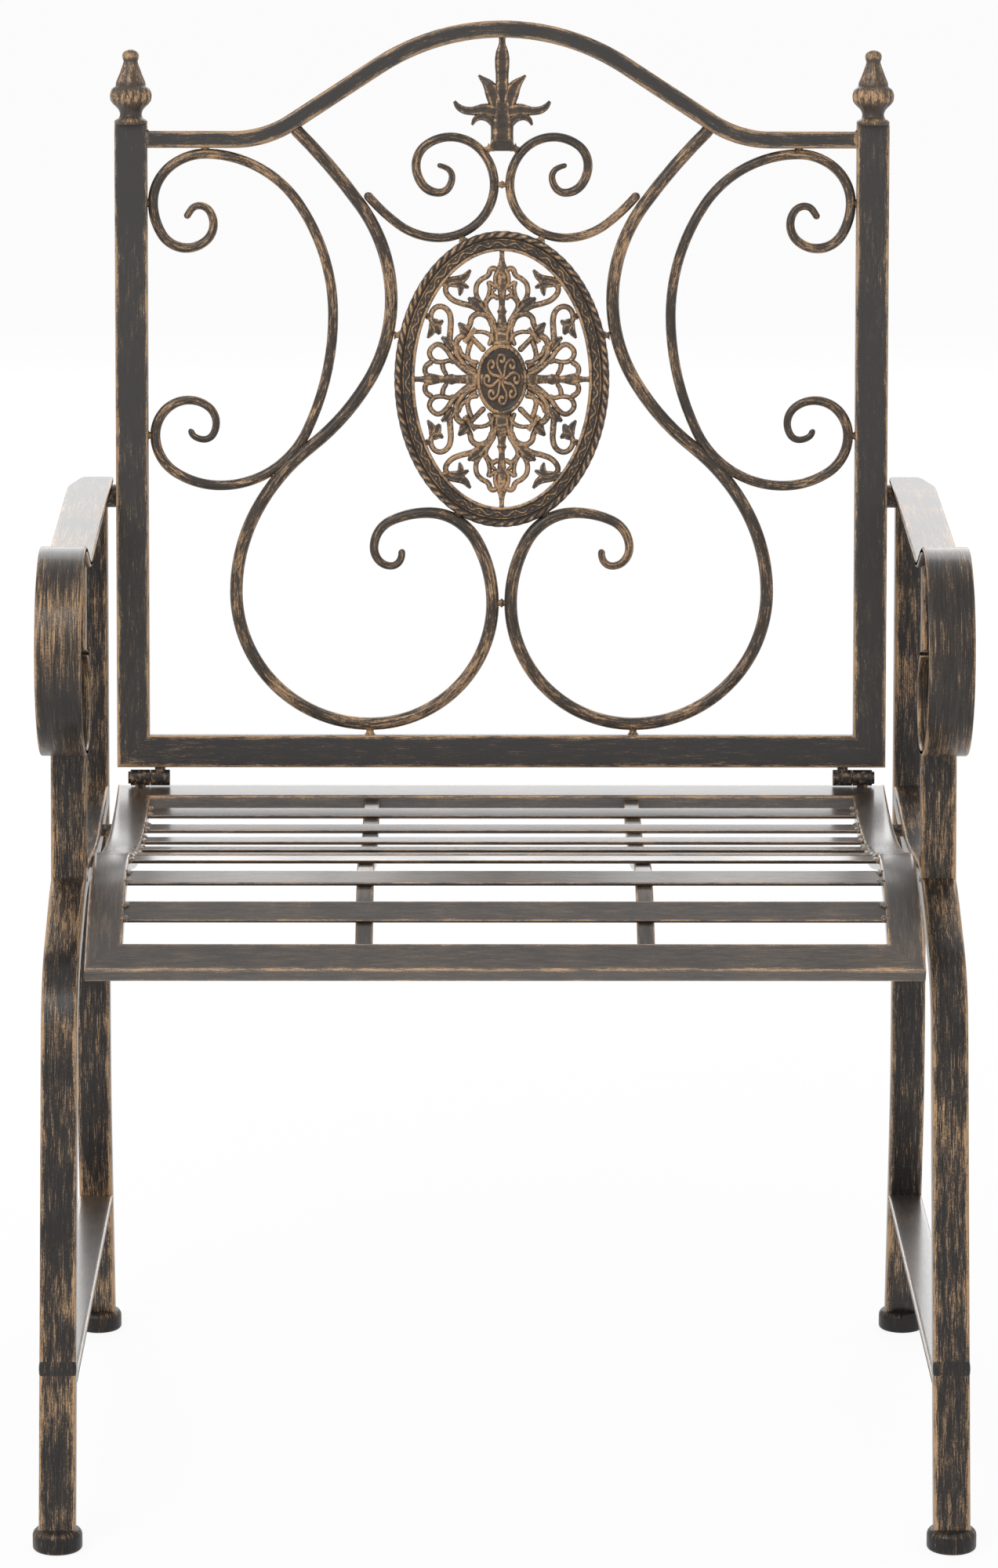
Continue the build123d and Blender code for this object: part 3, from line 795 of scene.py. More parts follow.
@dataclass(frozen=True)
class BrushedCopper:
    """Black semi-gloss enamel with copper paint dry-brushed over it by hand, under clear lacquer.

    Thin broken strokes follow each bar, lie thickest along its edges and come and go in patches, with
    a brown haze where the brush only touched the surface.
    """

    name: str
    paint: str = "#1f1c1b"
    haze: str = "#4d4035"
    copper: str = "#987556"
    bright: str = "#ddb68a"
    stroke_length: float = 15.0
    stroke_width: float = 0.65
    patch: float = 60.0
    bare: float = 0.13
    edge: float = 0.3
    mist: float = 0.18
    metal: float = 0.3
    gloss: float = 0.42
    specular: float = 0.2
    lacquer: float = 0.5
    onset: float = 0.05
    full: float = 0.26
    cover: float = 0.95
    touch: float = 0.1
    veil: float = 0.85
    grit: float = 1.1
    dulled: float = 0.14
    relief: float = 0.2
    relief_share: float = 0.25
    lacquer_rough: float = 0.2

    def material(self) -> Material:
        """Build the finish.

        Returns:
            The material, with strokes drawn on the piece's brush lengths in millimetres.
        """
        made = bpy.data.materials.new(self.name)
        tree = blank(made)
        brush = add(tree, "UVMap", {}, uv_map="brush").outputs["UV"]
        place = add(tree, "TexCoord", {}).outputs["Object"]
        worn = add(tree, "Attribute", {}, attribute_name="wear").outputs["Fac"]
        scale = lambda length, width: (length / self.stroke_length, width / self.stroke_width, 1.0)
        strokes = noise(tree, brush, scale(1, 1), 3.0, 0.6)
        bristle = noise(tree, brush, scale(3, 2.5))
        smear = noise(tree, brush, scale(0.6, 0.2))
        patches = noise(tree, place, (METRE / self.patch,) * 3, 2.0)
        grit = noise(tree, place, (METRE / self.grit,) * 3)
        weights = (1.0, 0.5, 0.5, 0.6, 0.3)
        total: Socket | float = 0.0
        for socket, weight in zip((strokes, bristle, smear, patches, grit, worn), (*weights, self.edge)):
            total = worked(tree, "MULTIPLY_ADD", socket, weight, total)
        start = 0.5 * sum(weights) + self.bare
        # Copper that covers in strokes, over a brown haze round them
        laid = ramp(tree, total, start - self.onset, start + self.full, self.cover, "SMOOTHSTEP")
        misted = ramp(tree, total, start - self.mist, start + self.touch, self.veil)
        under = mixed(tree, misted, linear(self.paint), linear(self.haze))
        tone = mixed(tree, bristle, linear(self.copper), linear(self.bright))
        dull = {"Value": laid, "To Min": self.gloss, "To Max": self.gloss + self.dulled}
        bump = {"Height": total, "Strength": self.relief_share, "Distance": self.relief * MM}
        shader = add(
            tree,
            "BsdfPrincipled",
            {
                "Base Color": mixed(tree, laid, under, tone),
                "Roughness": add(tree, "MapRange", dull).outputs["Result"],
                "Metallic": worked(tree, "MULTIPLY", laid, self.metal),
                "Normal": add(tree, "Bump", bump).outputs["Normal"],
                "Specular IOR Level": self.specular,
                "Coat Weight": self.lacquer,
                "Coat Roughness": self.lacquer_rough,
            },
        )
        add(tree, "OutputMaterial", {"Surface": shader.outputs[0]})
        return made


@dataclass(frozen=True)
class BlackEnamel:
    """Black semi-gloss enamel of the small hardware, with copper rubbed on in specks."""

    name: str
    paint: str = "#262322"
    copper: str = "#8f6f50"
    speck: float = 3.0
    rubbed: tuple = (0.5, 0.66)
    gloss: float = 0.42

    def material(self) -> Material:
        """Build the finish.

        Returns:
            The material, with specks by the place of each point in space.
        """
        made = bpy.data.materials.new(self.name)
        tree = blank(made)
        place = add(tree, "TexCoord", {}).outputs["Object"]
        grain = {"Vector": place, "Scale": METRE / self.speck, "Detail": 3.0, "Roughness": 0.6}
        laid = ramp(tree, add(tree, "TexNoise", grain).outputs[0], *self.rubbed)
        colour = mixed(tree, laid, linear(self.paint), linear(self.copper))
        shader = add(tree, "BsdfPrincipled", {"Base Color": colour, "Roughness": self.gloss})
        add(tree, "OutputMaterial", {"Surface": shader.outputs[0]})
        return made


class Finishes:
    """The finishes of the chair, made once."""

    def __init__(self) -> None:
        """Make every finish."""
        # Black bars with broken copper lines along their edges: posts and rails of the back
        tube = dict(paint="#2f2b28", haze="#5a4d42", bare=0.25, edge=0.42, specular=0.4)
        self.tube = BrushedCopper("brushed_copper_on_black_tube", **tube).material()
        # Legs and front posts, where the brush left the most copper and the black shows between strokes
        leg = dict(bare=0.09, edge=0.24, stroke_length=18.0)
        self.leg = BrushedCopper("brushed_copper_on_black_leg", **leg).material()
        # Arms, coppered like the legs, in long strokes that follow the scroll
        arm = dict(bare=0.11, edge=0.2, stroke_length=28.0, mist=0.3)
        self.arm = BrushedCopper("brushed_copper_on_black_arm", **arm).material()
        # Seat and stretchers, glossy grey-black, rubbed bare of copper but for their edges
        seat = dict(paint="#302a26", haze="#6a5848", bare=0.3, edge=0.42, mist=0.4, specular=0.5, lacquer=1.0)
        self.seat = BrushedCopper("rubbed_copper_on_black_seat", **seat).material()
        # Scroll rods, tan all round with dark gaps
        rod = dict(paint="#2c2825", bare=0.11, edge=0.2, stroke_width=1.6, mist=0.45)
        self.rod = BrushedCopper("brushed_copper_on_black_rod", **rod).material()
        # Castings, bronze brown in the hollows and bright on every ridge, in short broad dabs
        dabs = dict(stroke_length=5.0, stroke_width=2.0, patch=30.0, bare=0.47, edge=0.66, mist=0.5)
        sheen = dict(paint="#362f2a", haze="#655241", gloss=0.44, specular=0.35, lacquer=0.3)
        self.cast = BrushedCopper("rubbed_copper_on_black_casting", **dabs, **sheen).material()
        # Foot caps, duller than the legs and scuffed with copper
        cap = dict(bare=0.34, edge=0.3, lacquer=0.2)
        self.plastic = BrushedCopper("brushed_black_plastic_cap", **cap).material()
        # Bolts, pins, hinge barrels and stop pegs, plain black with a few specks
        self.black = BlackEnamel("black_enamel_hardware").material()


# Sub-assemblies


@dataclass
class SideFrame:
    """Legs, posts, arms and stretchers of both sides, drawn in side view."""

    finishes: Finishes
    middle: float = 305.0
    tube_wide: float = 25.0
    tube_deep: float = 15.0
    edge: float = 2.2
    front_foot: float = -486.0
    front_lean: float = 15.6
    front_bends: tuple = (400.0, 150.0, 72.5)
    rear_foot: float = 21.0
    rear_lean: float = 6.5
    knee: tuple = (-6.0, 200.0)
    knee_bend: float = 350.0
    arm_wide: float = 32.0
    arm_thick: float = 5.0
    arm_rear: tuple = (58.0, 646.5)
    arm_drop: float = 2.6
    arm_under: float = 1.8
    arm_corner: tuple = (9.5, 35.0)
    flat_edge: float = 1.3
    cap_floor: float = 5.0
    cap_radius: float = 17.0
    cap_high: float = 15.0
    cap_toe: float = 2.5
    cap_shoulder: float = 5.0
    cap_flat: float = 6.0
    cap_shift: tuple = (2.8, -1.35)
    stretcher_up: float = 108.0
    stretcher_thick: float = 5.0
    band_half: float = 7.0
    band_above: float = 6.0
    band_proud: tuple = (0.6, 0.8)
    band_fall: float = 0.08
    band_wear: float = -0.35

    def front_line(self) -> Track:
        """Side bar of the seat and front leg in one line.

        Returns:
            The line, from the rear end of the bar to the floor.
        """
        corners = [
            (14.0, HINGE_Z - 16.0),
            (-114.0, HINGE_Z - 31.0),
            (-263.0, HINGE_Z - 14.5),
            (-382.4, HINGE_Z - 61.5),
            (self.front_foot, 0.0),
        ]
        return Track.bends(corners, self.front_bends)

    def rear_line(self) -> Track:
        """Rear leg from the foot to the underside of the arm.

        Returns:
            The line, bent at the knee.
        """
        top = self.arm_rear[1] - self.arm_under
        head = self.knee[0] + (top - self.knee[1]) * tan(radians(self.rear_lean))
        return Track.bends([(self.rear_foot, 0.0), self.knee, (head, top)], [self.knee_bend])

    def arm_line(self) -> Track:
        """Arm from its rear end through the dip into the scroll."""
        steps = [(269.0,), (60.0, -26.6), (24.2,), (70.0, 204.0), (34.0, 170.0)]
        return Track.run(self.arm_rear, 180 + self.arm_drop, steps)

    def weld_band(self, front: Track, sheet: Sheet) -> Patch:
        """Band of weld round a front leg where the stretcher meets it.

        It is the leg's section a little enlarged, less a share of the square of the distance from the
        middle of the band.

        Args:
            front: line of the leg.
            sheet: side view that holds it.

        Returns:
            The band.
        """
        rise = self.stretcher_up / cos(radians(self.front_lean)) + self.band_above
        place = front.total - self.cap_floor - rise
        deep, wide = self.tube_deep + self.band_proud[0], self.tube_wide + self.band_proud[1]
        sleeve = Profile.bar(deep, wide, self.edge, wear=self.band_wear)
        swell = lambda share: 1 - self.band_fall * ((share * front.total - place) / self.band_half) ** 2
        marks = place + np.linspace(-self.band_half, self.band_half, 15)
        return carried(front, sheet, sleeve, stations=marks, size=swell)

    def build(self) -> None:
        """Build both sides."""
        sheet = side_sheet(self.middle)
        tube = Profile.bar(self.tube_deep, self.tube_wide, self.edge)
        front, rear = self.front_line(), self.rear_line()
        leg = carried(front, sheet, tube, stations=front.within(0.0, front.total - self.cap_floor))
        pair("front_leg", [leg, self.weld_band(front, sheet)], self.finishes.leg, Body.FRAME)
        leg = carried(rear, sheet, tube, stations=rear.within(self.cap_floor, rear.total))
        pair("rear_leg", [leg], self.finishes.leg, Body.FRAME)
        post = carried(straight((-264.0, HINGE_Z - 17.0), (-229.2, 637.6)), sheet, tube)
        high = lump(sheet, (-221.0, 634.0, 3.0), (5.0, 3.0, 9.0), 0.4)
        low = lump(sheet, (-256.0, 427.0, -2.0), (3.5, 3.0, 9.0), 2.2)
        pair("front_post", [post, high, low], self.finishes.leg, Body.FRAME)
        flat = Profile.bar(self.arm_thick, self.arm_wide, self.flat_edge, soft=2.2).finer(2.5)
        cut_x, cut_y = self.arm_corner
        corner = cut_y * ((flat.points[:, 1] - self.arm_wide / 2 + cut_x) / cut_x).clip(0, 1)
        line = self.arm_line()
        arm = carried(line, sheet, flat, stations=line.stations(10.0), trim=(corner, 0 * corner))
        pair("arm", [arm], self.finishes.arm, Body.FRAME)
        strip = Profile.bar(self.stretcher_thick, self.tube_wide, self.flat_edge, soft=2.0)
        level = straight((-450.0, self.stretcher_up), (1.0, self.stretcher_up))
        pair("side_stretcher", [carried(level, sheet, strip)], self.finishes.seat, Body.FRAME)
        feet = self.front_foot, self.rear_foot
        for end, foot, shift in zip(("front", "rear"), feet, self.cap_shift):
            cap = self.cap(sheet, foot + shift)
            pair(f"foot_cap_{end}", [cap], self.finishes.plastic, Body.FRAME)

    def cap(self, sheet: Sheet, middle: float) -> Patch:
        """Round plastic foot cap with a rounded toe and shoulder.

        Args:
            sheet: side view that holds the cap's axis.
            middle: y of the axis.

        Returns:
            The cap, turned from two quarter arcs and the straight wall between them.
        """
        rise, reach = unit(np.radians(np.linspace(0, 90, 8))).T[::-1]
        toe, neck = self.cap_toe, self.cap_shoulder
        low, high = toe * (1 - reach), neck * rise + (self.cap_high - neck)
        heights = np.r_[0.0, low, high, self.cap_high]
        low, high = toe * rise + (self.cap_radius - toe), neck * reach + (self.cap_radius - neck)
        radii = np.r_[self.cap_flat, low, high, self.cap_flat]
        worn = np.interp(heights, [0, 2.5, 5, 10, 13, 15], [0.7, 0.4, 0.1, 0.3, 0.8, 0.5])
        return turned(sheet, (middle, 0.0), heights, radii, worn)


@dataclass
class Seat:
    """Seat frame, slats and support bars."""

    finishes: Finishes
    half: float = 285.0
    rail_wide: float = 25.0
    rail_deep: float = 12.0
    rail_edge: float = 1.6
    slat_wide: float = 20.0
    slat_deep: float = 2.4
    slat_drop: float = 1.5
    slat_edge: float = 0.8
    slats: int = 9
    support_x: float = 96.0
    support: tuple = (8.0, 12.0)
    support_edge: float = 1.4
    slope: float = 9.2

    def line(self, below: float = 0.0) -> Track:
        """Top of the seat in side view, or a line below it.

        Args:
            below: distance below the top.

        Returns:
            The line, from the rear to the front.
        """
        steps = [(683.0 + below, -23.6), (157.0 - below, 46.9), (45.4,)]
        tilt = radians(self.slope)
        start = (5.0 + below * sin(tilt), HINGE_Z - 6.1 - below * cos(tilt))
        return Track.run(start, 180 + self.slope, steps)

    def build(self) -> None:
        """Build the seat."""
        finish = self.finishes.seat
        rail = Profile.bar(self.rail_deep, self.rail_wide, self.rail_edge, soft=2.0)
        wide = self.rail_wide / 2
        mitre = wide - rail.points[:, 1]
        middle = self.line(self.rail_deep / 2)
        side = carried(middle, side_sheet(self.half - wide), rail, trim=(mitre, mitre))
        pair("seat_side_rail", [side], finish, Body.FRAME)
        top = self.line()
        inside = self.half - self.rail_wide
        for end, at, way in (("rear", wide, -1.0), ("front", top.total - wide, 1.0)):
            half = self.half - wide + way * rail.points[:, 1]
            patch = self.crosswise(at, self.rail_deep / 2, rail, half)
            single(f"seat_{end}_rail", [patch], finish, Body.FRAME)
        flat = Profile.bar(self.slat_deep, self.slat_wide, self.slat_edge, soft=1.2)
        half = np.full(len(flat.points), inside)
        gap = (top.total - 2 * self.rail_wide - self.slats * self.slat_wide) / (self.slats + 1)
        for number in range(self.slats):
            at = self.rail_wide + gap * (number + 1) + self.slat_wide * (number + 0.5)
            patch = self.crosswise(at, self.slat_drop + self.slat_deep / 2, flat, half)
            patches = [patch, *self.welds(at, inside, number)]
            single(f"seat_slat_{number + 1}", patches, finish, Body.FRAME)
        under = self.line(self.slat_drop + self.slat_deep + self.support[0] / 2)
        marks = under.within(self.rail_wide, under.total - self.rail_wide)
        bar = Profile.bar(*self.support, self.support_edge, soft=1.4)
        strip = carried(under, side_sheet(self.support_x), bar, stations=marks)
        pair("seat_support_bar", [strip], finish, Body.FRAME)

    def welds(self, at: float, inside: float, number: int) -> list[Patch]:
        """Weld beads on the ends of a slat, two at each end.

        Args:
            at: distance of the slat along the top of the seat.
            inside: x of the inner side of the side rail.
            number: number of the slat.

        Returns:
            The four beads.
        """
        made = []
        for edge in (-0.36, 0.33):
            point, _ = self.line(self.slat_drop + 0.4).at(np.array([at + edge * self.slat_wide]))
            seed = 1.7 * number + 3.0 * edge
            made.append(lump(side_sheet(inside - 0.6), (*point[0], 0.0), (4.4, 2.2, 3.2), seed))
        return made + [patch.mirrored() for patch in made]

    def crosswise(self, at: float, depth: float, profile: Profile, half: Array) -> Patch:
        """Bar that lies across the chair on the seat's line.

        Args:
            at: distance along the top of the seat.
            depth: middle of the bar below the top.
            profile: outline of the bar, thickness first.
            half: half of the bar's length at each point of the outline.

        Returns:
            The bar, its outline turned to the line's slope and carried along x.
        """
        point, way = self.line().at(np.array([at]))
        normal = np.array([-way[0, 1], way[0, 0]])
        flat = point[0] + (depth + profile.points[:, :1]) * normal + profile.points[:, 1:] * way[0]
        share = np.linspace(-1, 1, 21)
        points = np.empty((len(share), len(flat), 3))
        points[..., 0] = share[:, None] * half
        points[..., 1] = HINGE_Y + flat[None, :, 0]
        points[..., 2] = flat[None, :, 1]
        wear = np.broadcast_to(profile.wear, points.shape[:2])
        return Patch.grid(points, (share + 1) * half.max(), profile.girth, wear)


@dataclass
class BackFrame:
    """Posts, rails and finials of the back, drawn flat."""

    finishes: Finishes
    half: float = 285.0
    tube: float = 24.0
    deep: float = 12.0
    low: float = 8.0
    post_top: float = 482.0
    rail_level: float = 471.5
    rail_high: float = 12.6
    shoulder: float = 174.0
    slope: float = 33.0
    tube_edge: float = 1.8
    rail_edge: float = 2.2
    rail_bends: tuple = (80.0, 167.0, 80.0)

    def build(self) -> None:
        """Build the frame of the back."""
        finish = self.finishes.tube
        tube = Profile.bar(self.tube, self.deep, self.tube_edge, soft=2.0)
        inner = self.half - self.tube
        x, y = self.half - self.tube / 2, self.low + self.tube / 2
        mitre = self.tube / 2 + tube.points[:, 0]
        post = straight((x, self.low), (x, self.post_top))
        side = carried(post, BACK_SHEET, tube, trim=(mitre, 0 * mitre))
        bead = lump(BACK_SHEET, (inner - 0.4, self.rail_level + 0.6, 4.4), (2.4, 6.2, 2.2), 1.1)
        pair("back_post", [side, bead], finish, Body.BACK)
        rail = straight((-self.half, y), (self.half, y))
        low_rail = carried(rail, BACK_SHEET, tube, trim=(mitre, mitre))
        single("back_bottom_rail", [low_rail], finish, Body.BACK)
        peak = self.rail_level + self.shoulder * tan(radians(self.slope))
        corners = [
            (-inner, self.rail_level),
            (-self.shoulder, self.rail_level),
            (0.0, peak),
            (self.shoulder, self.rail_level),
            (inner, self.rail_level),
        ]
        arch = Track.bends(corners, self.rail_bends)
        bar = Profile.bar(self.rail_high, self.deep, self.rail_edge, soft=1.6)
        single("back_top_rail", [carried(arch, BACK_SHEET, bar)], finish, Body.BACK)
        pair("finial", [self.finial(x)], self.finishes.cast, Body.BACK)

    def finial(self, x: float) -> Patch:
        """Cast finial with a fluted ball and a fluted cone under a small tip.

        Args:
            x: middle of the post.

        Returns:
            The finial, its radius rippled by flutes on the ball and on the cone.
        """
        heights = np.array(
            [
                0.0, 0.0, 0.6, 3.0, 4.2, 5.0, 6.6, 8.2, 9.8, 11.4, 13.2, 15.2, 17.6, 20.0, 22.2, 24.4,
                26.4, 27.8, 28.6, 29.6, 31.4, 33.6, 36.6, 40.2, 43.6, 45.8, 46.8, 48.0, 49.8, 51.4,
                52.8, 54.0, 54.9, 55.3,
            ]
        )
        radii = np.array(
            [
                0.5, 11.6, 12.1, 12.1, 11.0, 9.2, 8.2, 8.0, 8.4, 9.2, 10.8, 13.0, 14.8, 15.3, 15.4,
                14.9, 13.9, 12.2, 11.2, 11.0, 10.8, 9.9, 8.6, 7.3, 6.0, 5.3, 5.2, 5.7, 6.15, 6.1, 5.5,
                4.3, 2.6, 0.6,
            ]
        )
        worn = np.interp(
            heights,
            [0, 2, 4, 6, 10, 14, 18, 23, 27, 29, 31, 38, 45, 47, 50, 55],
            [0.5, 0.6, 0.9, 0.3, 0.15, 0.5, 0.85, 0.9, 0.5, 0.2, 0.7, 0.8, 0.6, 0.2, 0.9, 0.6],
        )
        return turned(BACK_SHEET, (x, self.post_top), heights, radii, worn, self.flutes, 128)

    @staticmethod
    def flutes(high: Array, turn: Array) -> Array:
        """Flutes of the finial: a bell curve of the height times one less a cosine of the angle.

        Args:
            high: heights.
            turn: angles.

        Returns:
            Share added to the radius: sixteen flutes on the ball and eight on the cone.
        """
        ball_at, ball_half, ball_depth = 20.5, 6.4, 0.075
        cone_at, cone_half, cone_depth = 36.5, 6.5, 0.08
        ball = np.exp(-(((high - ball_at) / ball_half) ** 4))
        cone = np.exp(-(((high - cone_at) / cone_half) ** 4))
        on_ball = -ball_depth * ball * (1 - np.abs(np.cos(8.0 * turn)) ** 0.7)
        return on_ball - cone_depth * cone * (1 - np.abs(np.cos(4.0 * turn)))


@dataclass
class Scrollwork:
    """Lyre rods, side scrolls, volutes and their weld studs."""

    finishes: Finishes
    lyre_radius: float = 4.75
    side_radius: float = 3.75
    volute_radius: float = 3.4
    lyre: tuple = (
        (154.0, 480.9, 224), (81.6, 354.0, 270), (141.5, 245.5, 322), (196.5, 138.0, 270),
        (97.6, 40.2, 180), (6.7, 130.0, 90), (54.5, 197.0, 0), (94.5, 171.0, 270), (82.0, 157.5, 180),
        (74.5, 170.0, 72),
    )
    side: tuple = (
        (233.0, 413.5, 118), (223.0, 423.0, 180), (212.5, 409.5, 270), (232.4, 392.0, 0),
        (257.0, 425.0, 90), (218.5, 461.0, 180), (124.5, 343.0, 270), (208.0, 217.0, 0),
        (256.0, 254.0, 90), (231.0, 280.0, 180), (211.0, 263.0, 270), (220.0, 251.0, 0),
        (229.5, 259.0, 100),
    )
    volute: tuple = (
        (100.5, 432.5, 231), (46.4, 399.6, 180), (5.7, 438.6, 90), (38.0, 473.5, 0), (63.3, 452.7, 270),
        (46.5, 432.7, 180), (36.8, 444.2, 90), (47.8, 452.8, 5),
    )

    def rod(self, knots: Sequence, radius: float, taper: Callable[[Array], Array]) -> Patch:
        """Round rod along a scroll, thinner where the taper says."""
        return carried(Track.scroll(knots), BACK_SHEET, Profile.rod(radius), Ending.ROUND, size=taper)

    def build(self) -> None:
        """Build the scrolls of both sides."""
        one_end = between([0, 0.86, 1.0], [1.0, 1.0, 0.55])
        both_ends = between([0, 0.1, 0.88, 1.0], [0.68, 1.0, 1.0, 0.62])
        lyre = [
            self.rod(self.lyre, self.lyre_radius, one_end),
            stud((97.6, 37.5), (97.6, 32.0), 3.6),
            stud((4.0, 130.0), (0.0, 130.0), 3.0),
            lump(BACK_SHEET, (156.0, 479.6, 0.0), (3.6, 2.4, 4.2), 0.8),
        ]
        side = [
            self.rod(self.side, self.side_radius, both_ends),
            stud((257.5, 425.0), (261.0, 425.0), 2.8),
            stud((256.5, 254.0), (261.0, 254.0), 2.8),
            stud((218.5, 462.0), (218.5, 465.2), 2.8),
            stud((171.0, 227.5), (167.0, 223.5), 2.8),
        ]
        volute = [
            self.rod(self.volute, self.volute_radius, one_end),
            stud((4.4, 438.6), (0.0, 438.6), 2.6),
        ]
        for name, patches in (("lyre_rod", lyre), ("side_scroll", side), ("volute", volute)):
            pair(name, patches, self.finishes.rod, Body.BACK)


@dataclass
class Medallion:
    """Cast oval medallion: rope-edged ring, openwork tracery and a boss of scrolls round a rosette.

    The tracery is drawn for the upper right quarter: strokes as a half width and points, leaves as
    points and a half width.
    """

    finishes: Finishes
    middle: float = 295.5
    inner: tuple = (64.3, 94.2)
    band: float = 15.1
    boss: tuple = (18.9, 26.6)
    rope_pitch: float = 7.4
    vine_pitch: float = 14.0
    stroke_full: float = 1.55
    stroke_high: float = 1.65
    leaf_full: float = 1.42
    leaf_thick: float = 2.8
    strokes: tuple = (
        (
            1.3, (3.0, 80.5), (7.4, 81.4), (10.4, 76.4), (15.0, 73.6), (18.4, 69.6), (19.0, 63.0),
            (16.4, 57.1), (13.2, 52.0), (8.2, 46.3), (5.4, 41.0), (4.3, 31.0),
        ),
        (1.1, (10.2, 72.5), (9.0, 67.0), (10.2, 61.2), (13.4, 55.5)),
        (1.2, (10.2, 72.0), (6.5, 69.4), (2.5, 67.5)),
        (1.2, (2.0, 59.0), (6.6, 61.2), (10.6, 58.0), (11.7, 53.8), (8.8, 47.8), (5.0, 42.0)),
        (
            1.5, (15.5, 50.5), (22.0, 54.0), (29.7, 55.9), (36.1, 58.4), (40.6, 62.9), (41.4, 67.3),
            (38.4, 70.2), (34.5, 70.2),
        ),
        (1.6, (6.6, 38.0), (8.0, 42.8), (11.0, 46.6), (17.0, 48.4), (21.9, 45.7), (23.6, 40.2), (26.0, 35.6)),
        (1.2, (6.6, 27.0), (7.2, 30.8), (10.8, 33.8), (15.7, 35.0), (21.0, 34.6)),
        (1.1, (9.6, 24.5), (7.6, 31.0), (7.2, 37.5), (8.6, 42.5)),
        (1.4, (12.4, 20.6), (20.8, 29.2), (24.5, 33.5)),
        (1.3, (22.2, 29.0), (24.2, 23.4), (25.2, 17.2), (22.7, 12.0), (18.4, 8.6)),
        (1.6, (26.5, 33.0), (31.8, 30.2), (34.1, 25.3), (33.4, 19.0), (29.7, 13.2), (24.0, 8.0), (18.0, 5.6)),
        (
            1.4, (18.0, 3.6), (25.0, 5.6), (30.5, 9.8), (36.4, 15.6), (41.4, 22.4), (46.7, 25.7),
            (51.6, 23.3), (53.4, 18.8), (50.6, 14.0), (45.0, 12.6), (38.2, 13.6), (34.8, 11.8),
        ),
        (1.4, (51.0, 13.4), (55.9, 9.6), (56.6, 5.4), (54.2, 2.2)),
        (1.3, (44.0, 12.4), (43.2, 7.4), (40.4, 2.6)),
        (1.0, (4.4, 66.8), (7.2, 64.0), (4.4, 61.2), (1.8, 60.6)),
        (1.2, (1.8, 82.0), (4.6, 76.0), (4.4, 70.0), (1.8, 66.0)),
        (1.2, (17.0, 12.0), (23.5, 13.6), (29.5, 18.6), (32.2, 25.0)),
        (1.2, (3.4, 27.0), (4.2, 34.0), (7.4, 40.6), (9.4, 45.4)),
        (
            1.5, (36.5, 22.5), (38.4, 28.5), (38.0, 36.1), (37.7, 43.8), (39.2, 49.6), (43.2, 53.2),
            (48.1, 53.2), (51.7, 49.5), (52.4, 44.6), (50.8, 41.0),
        ),
    )
    leaves: tuple = (
        ((46.5, 73.0), (41.5, 71.6), (36.0, 71.0), 2.7),
        ((41.0, 72.0), (29.0, 74.2), (23.0, 80.4), 2.5),
        ((39.5, 70.2), (32.0, 70.4), (24.4, 67.4), 2.3),
        ((31.5, 70.5), (30.4, 66.0), (31.2, 61.4), 1.7),
        ((13.5, 50.0), (19.0, 55.0), (24.9, 60.1), 2.6),
        ((14.5, 55.5), (19.0, 58.6), (23.6, 59.6), 1.8),
        ((56.5, 45.5), (53.5, 46.5), (51.0, 46.0), 1.8),
        ((51.6, 43.4), (47.2, 41.4), (43.2, 43.2), 2.2),
        ((51.2, 42.6), (48.4, 38.2), (45.8, 33.0), 2.7),
        ((51.6, 42.5), (51.4, 36.4), (54.8, 30.2), 2.1),
        ((24.5, 34.0), (28.0, 37.4), (32.0, 41.6), 2.4),
        ((25.5, 33.0), (28.4, 34.4), (31.0, 37.4), 1.8),
        ((35.0, 21.5), (39.5, 27.4), (44.6, 31.0), 2.6),
    )

    def ring(self) -> Patch:
        """Ring of the medallion.

        Rows go round the oval and columns across it. The front rises as a rounded inner edge, a vine
        that waves along the band as a bell curve about a sine, and an outer rope whose strands are a
        cosine of the distance round plus the position across.

        Returns:
            The ring.
        """
        fine = np.linspace(0, 2 * pi, 4001)
        radius = np.array(self.inner) + self.band * 0.6
        steps = np.hypot(radius[0] * np.diff(np.cos(fine)), radius[1] * np.diff(np.sin(fine)))
        length = np.r_[0, np.cumsum(steps)]
        count, columns = 1200, 44
        run = length[-1] * np.arange(count) / count
        angle = np.interp(run, length, fine)[:, None]
        across = np.linspace(0, self.band, columns)[None]
        phase = 2 * pi * (run / length[-1])[:, None]
        ropes, vines = (round(length[-1] / pitch) * phase for pitch in (self.rope_pitch, self.vine_pitch))
        base, back, slope, floor = 2.6, -4.6, 0.8, 0.6
        bell = lambda middle, half: ((across - middle) / half) ** 2
        # Inner edge, vine with its buds and a line of wire beside it
        edge_stop, vine_at, vine_half, vine_high = 2.7, 5.4, 0.7, 0.9
        edge = 1.5 * np.sqrt(np.clip(1 - bell(1.3, 1.4), 0, 1))
        vine = vine_high * np.exp(-bell(vine_at + 1.5 * np.sin(vines), vine_half))
        spots = (np.cos(vines) / 0.4) ** 2
        bud = vine_high * np.exp(-bell(vine_at - 1.3 * np.sin(vines), vine_half) - spots)
        bud = np.maximum(bud, vine_high * np.exp(-bell(8.6, 0.4)))
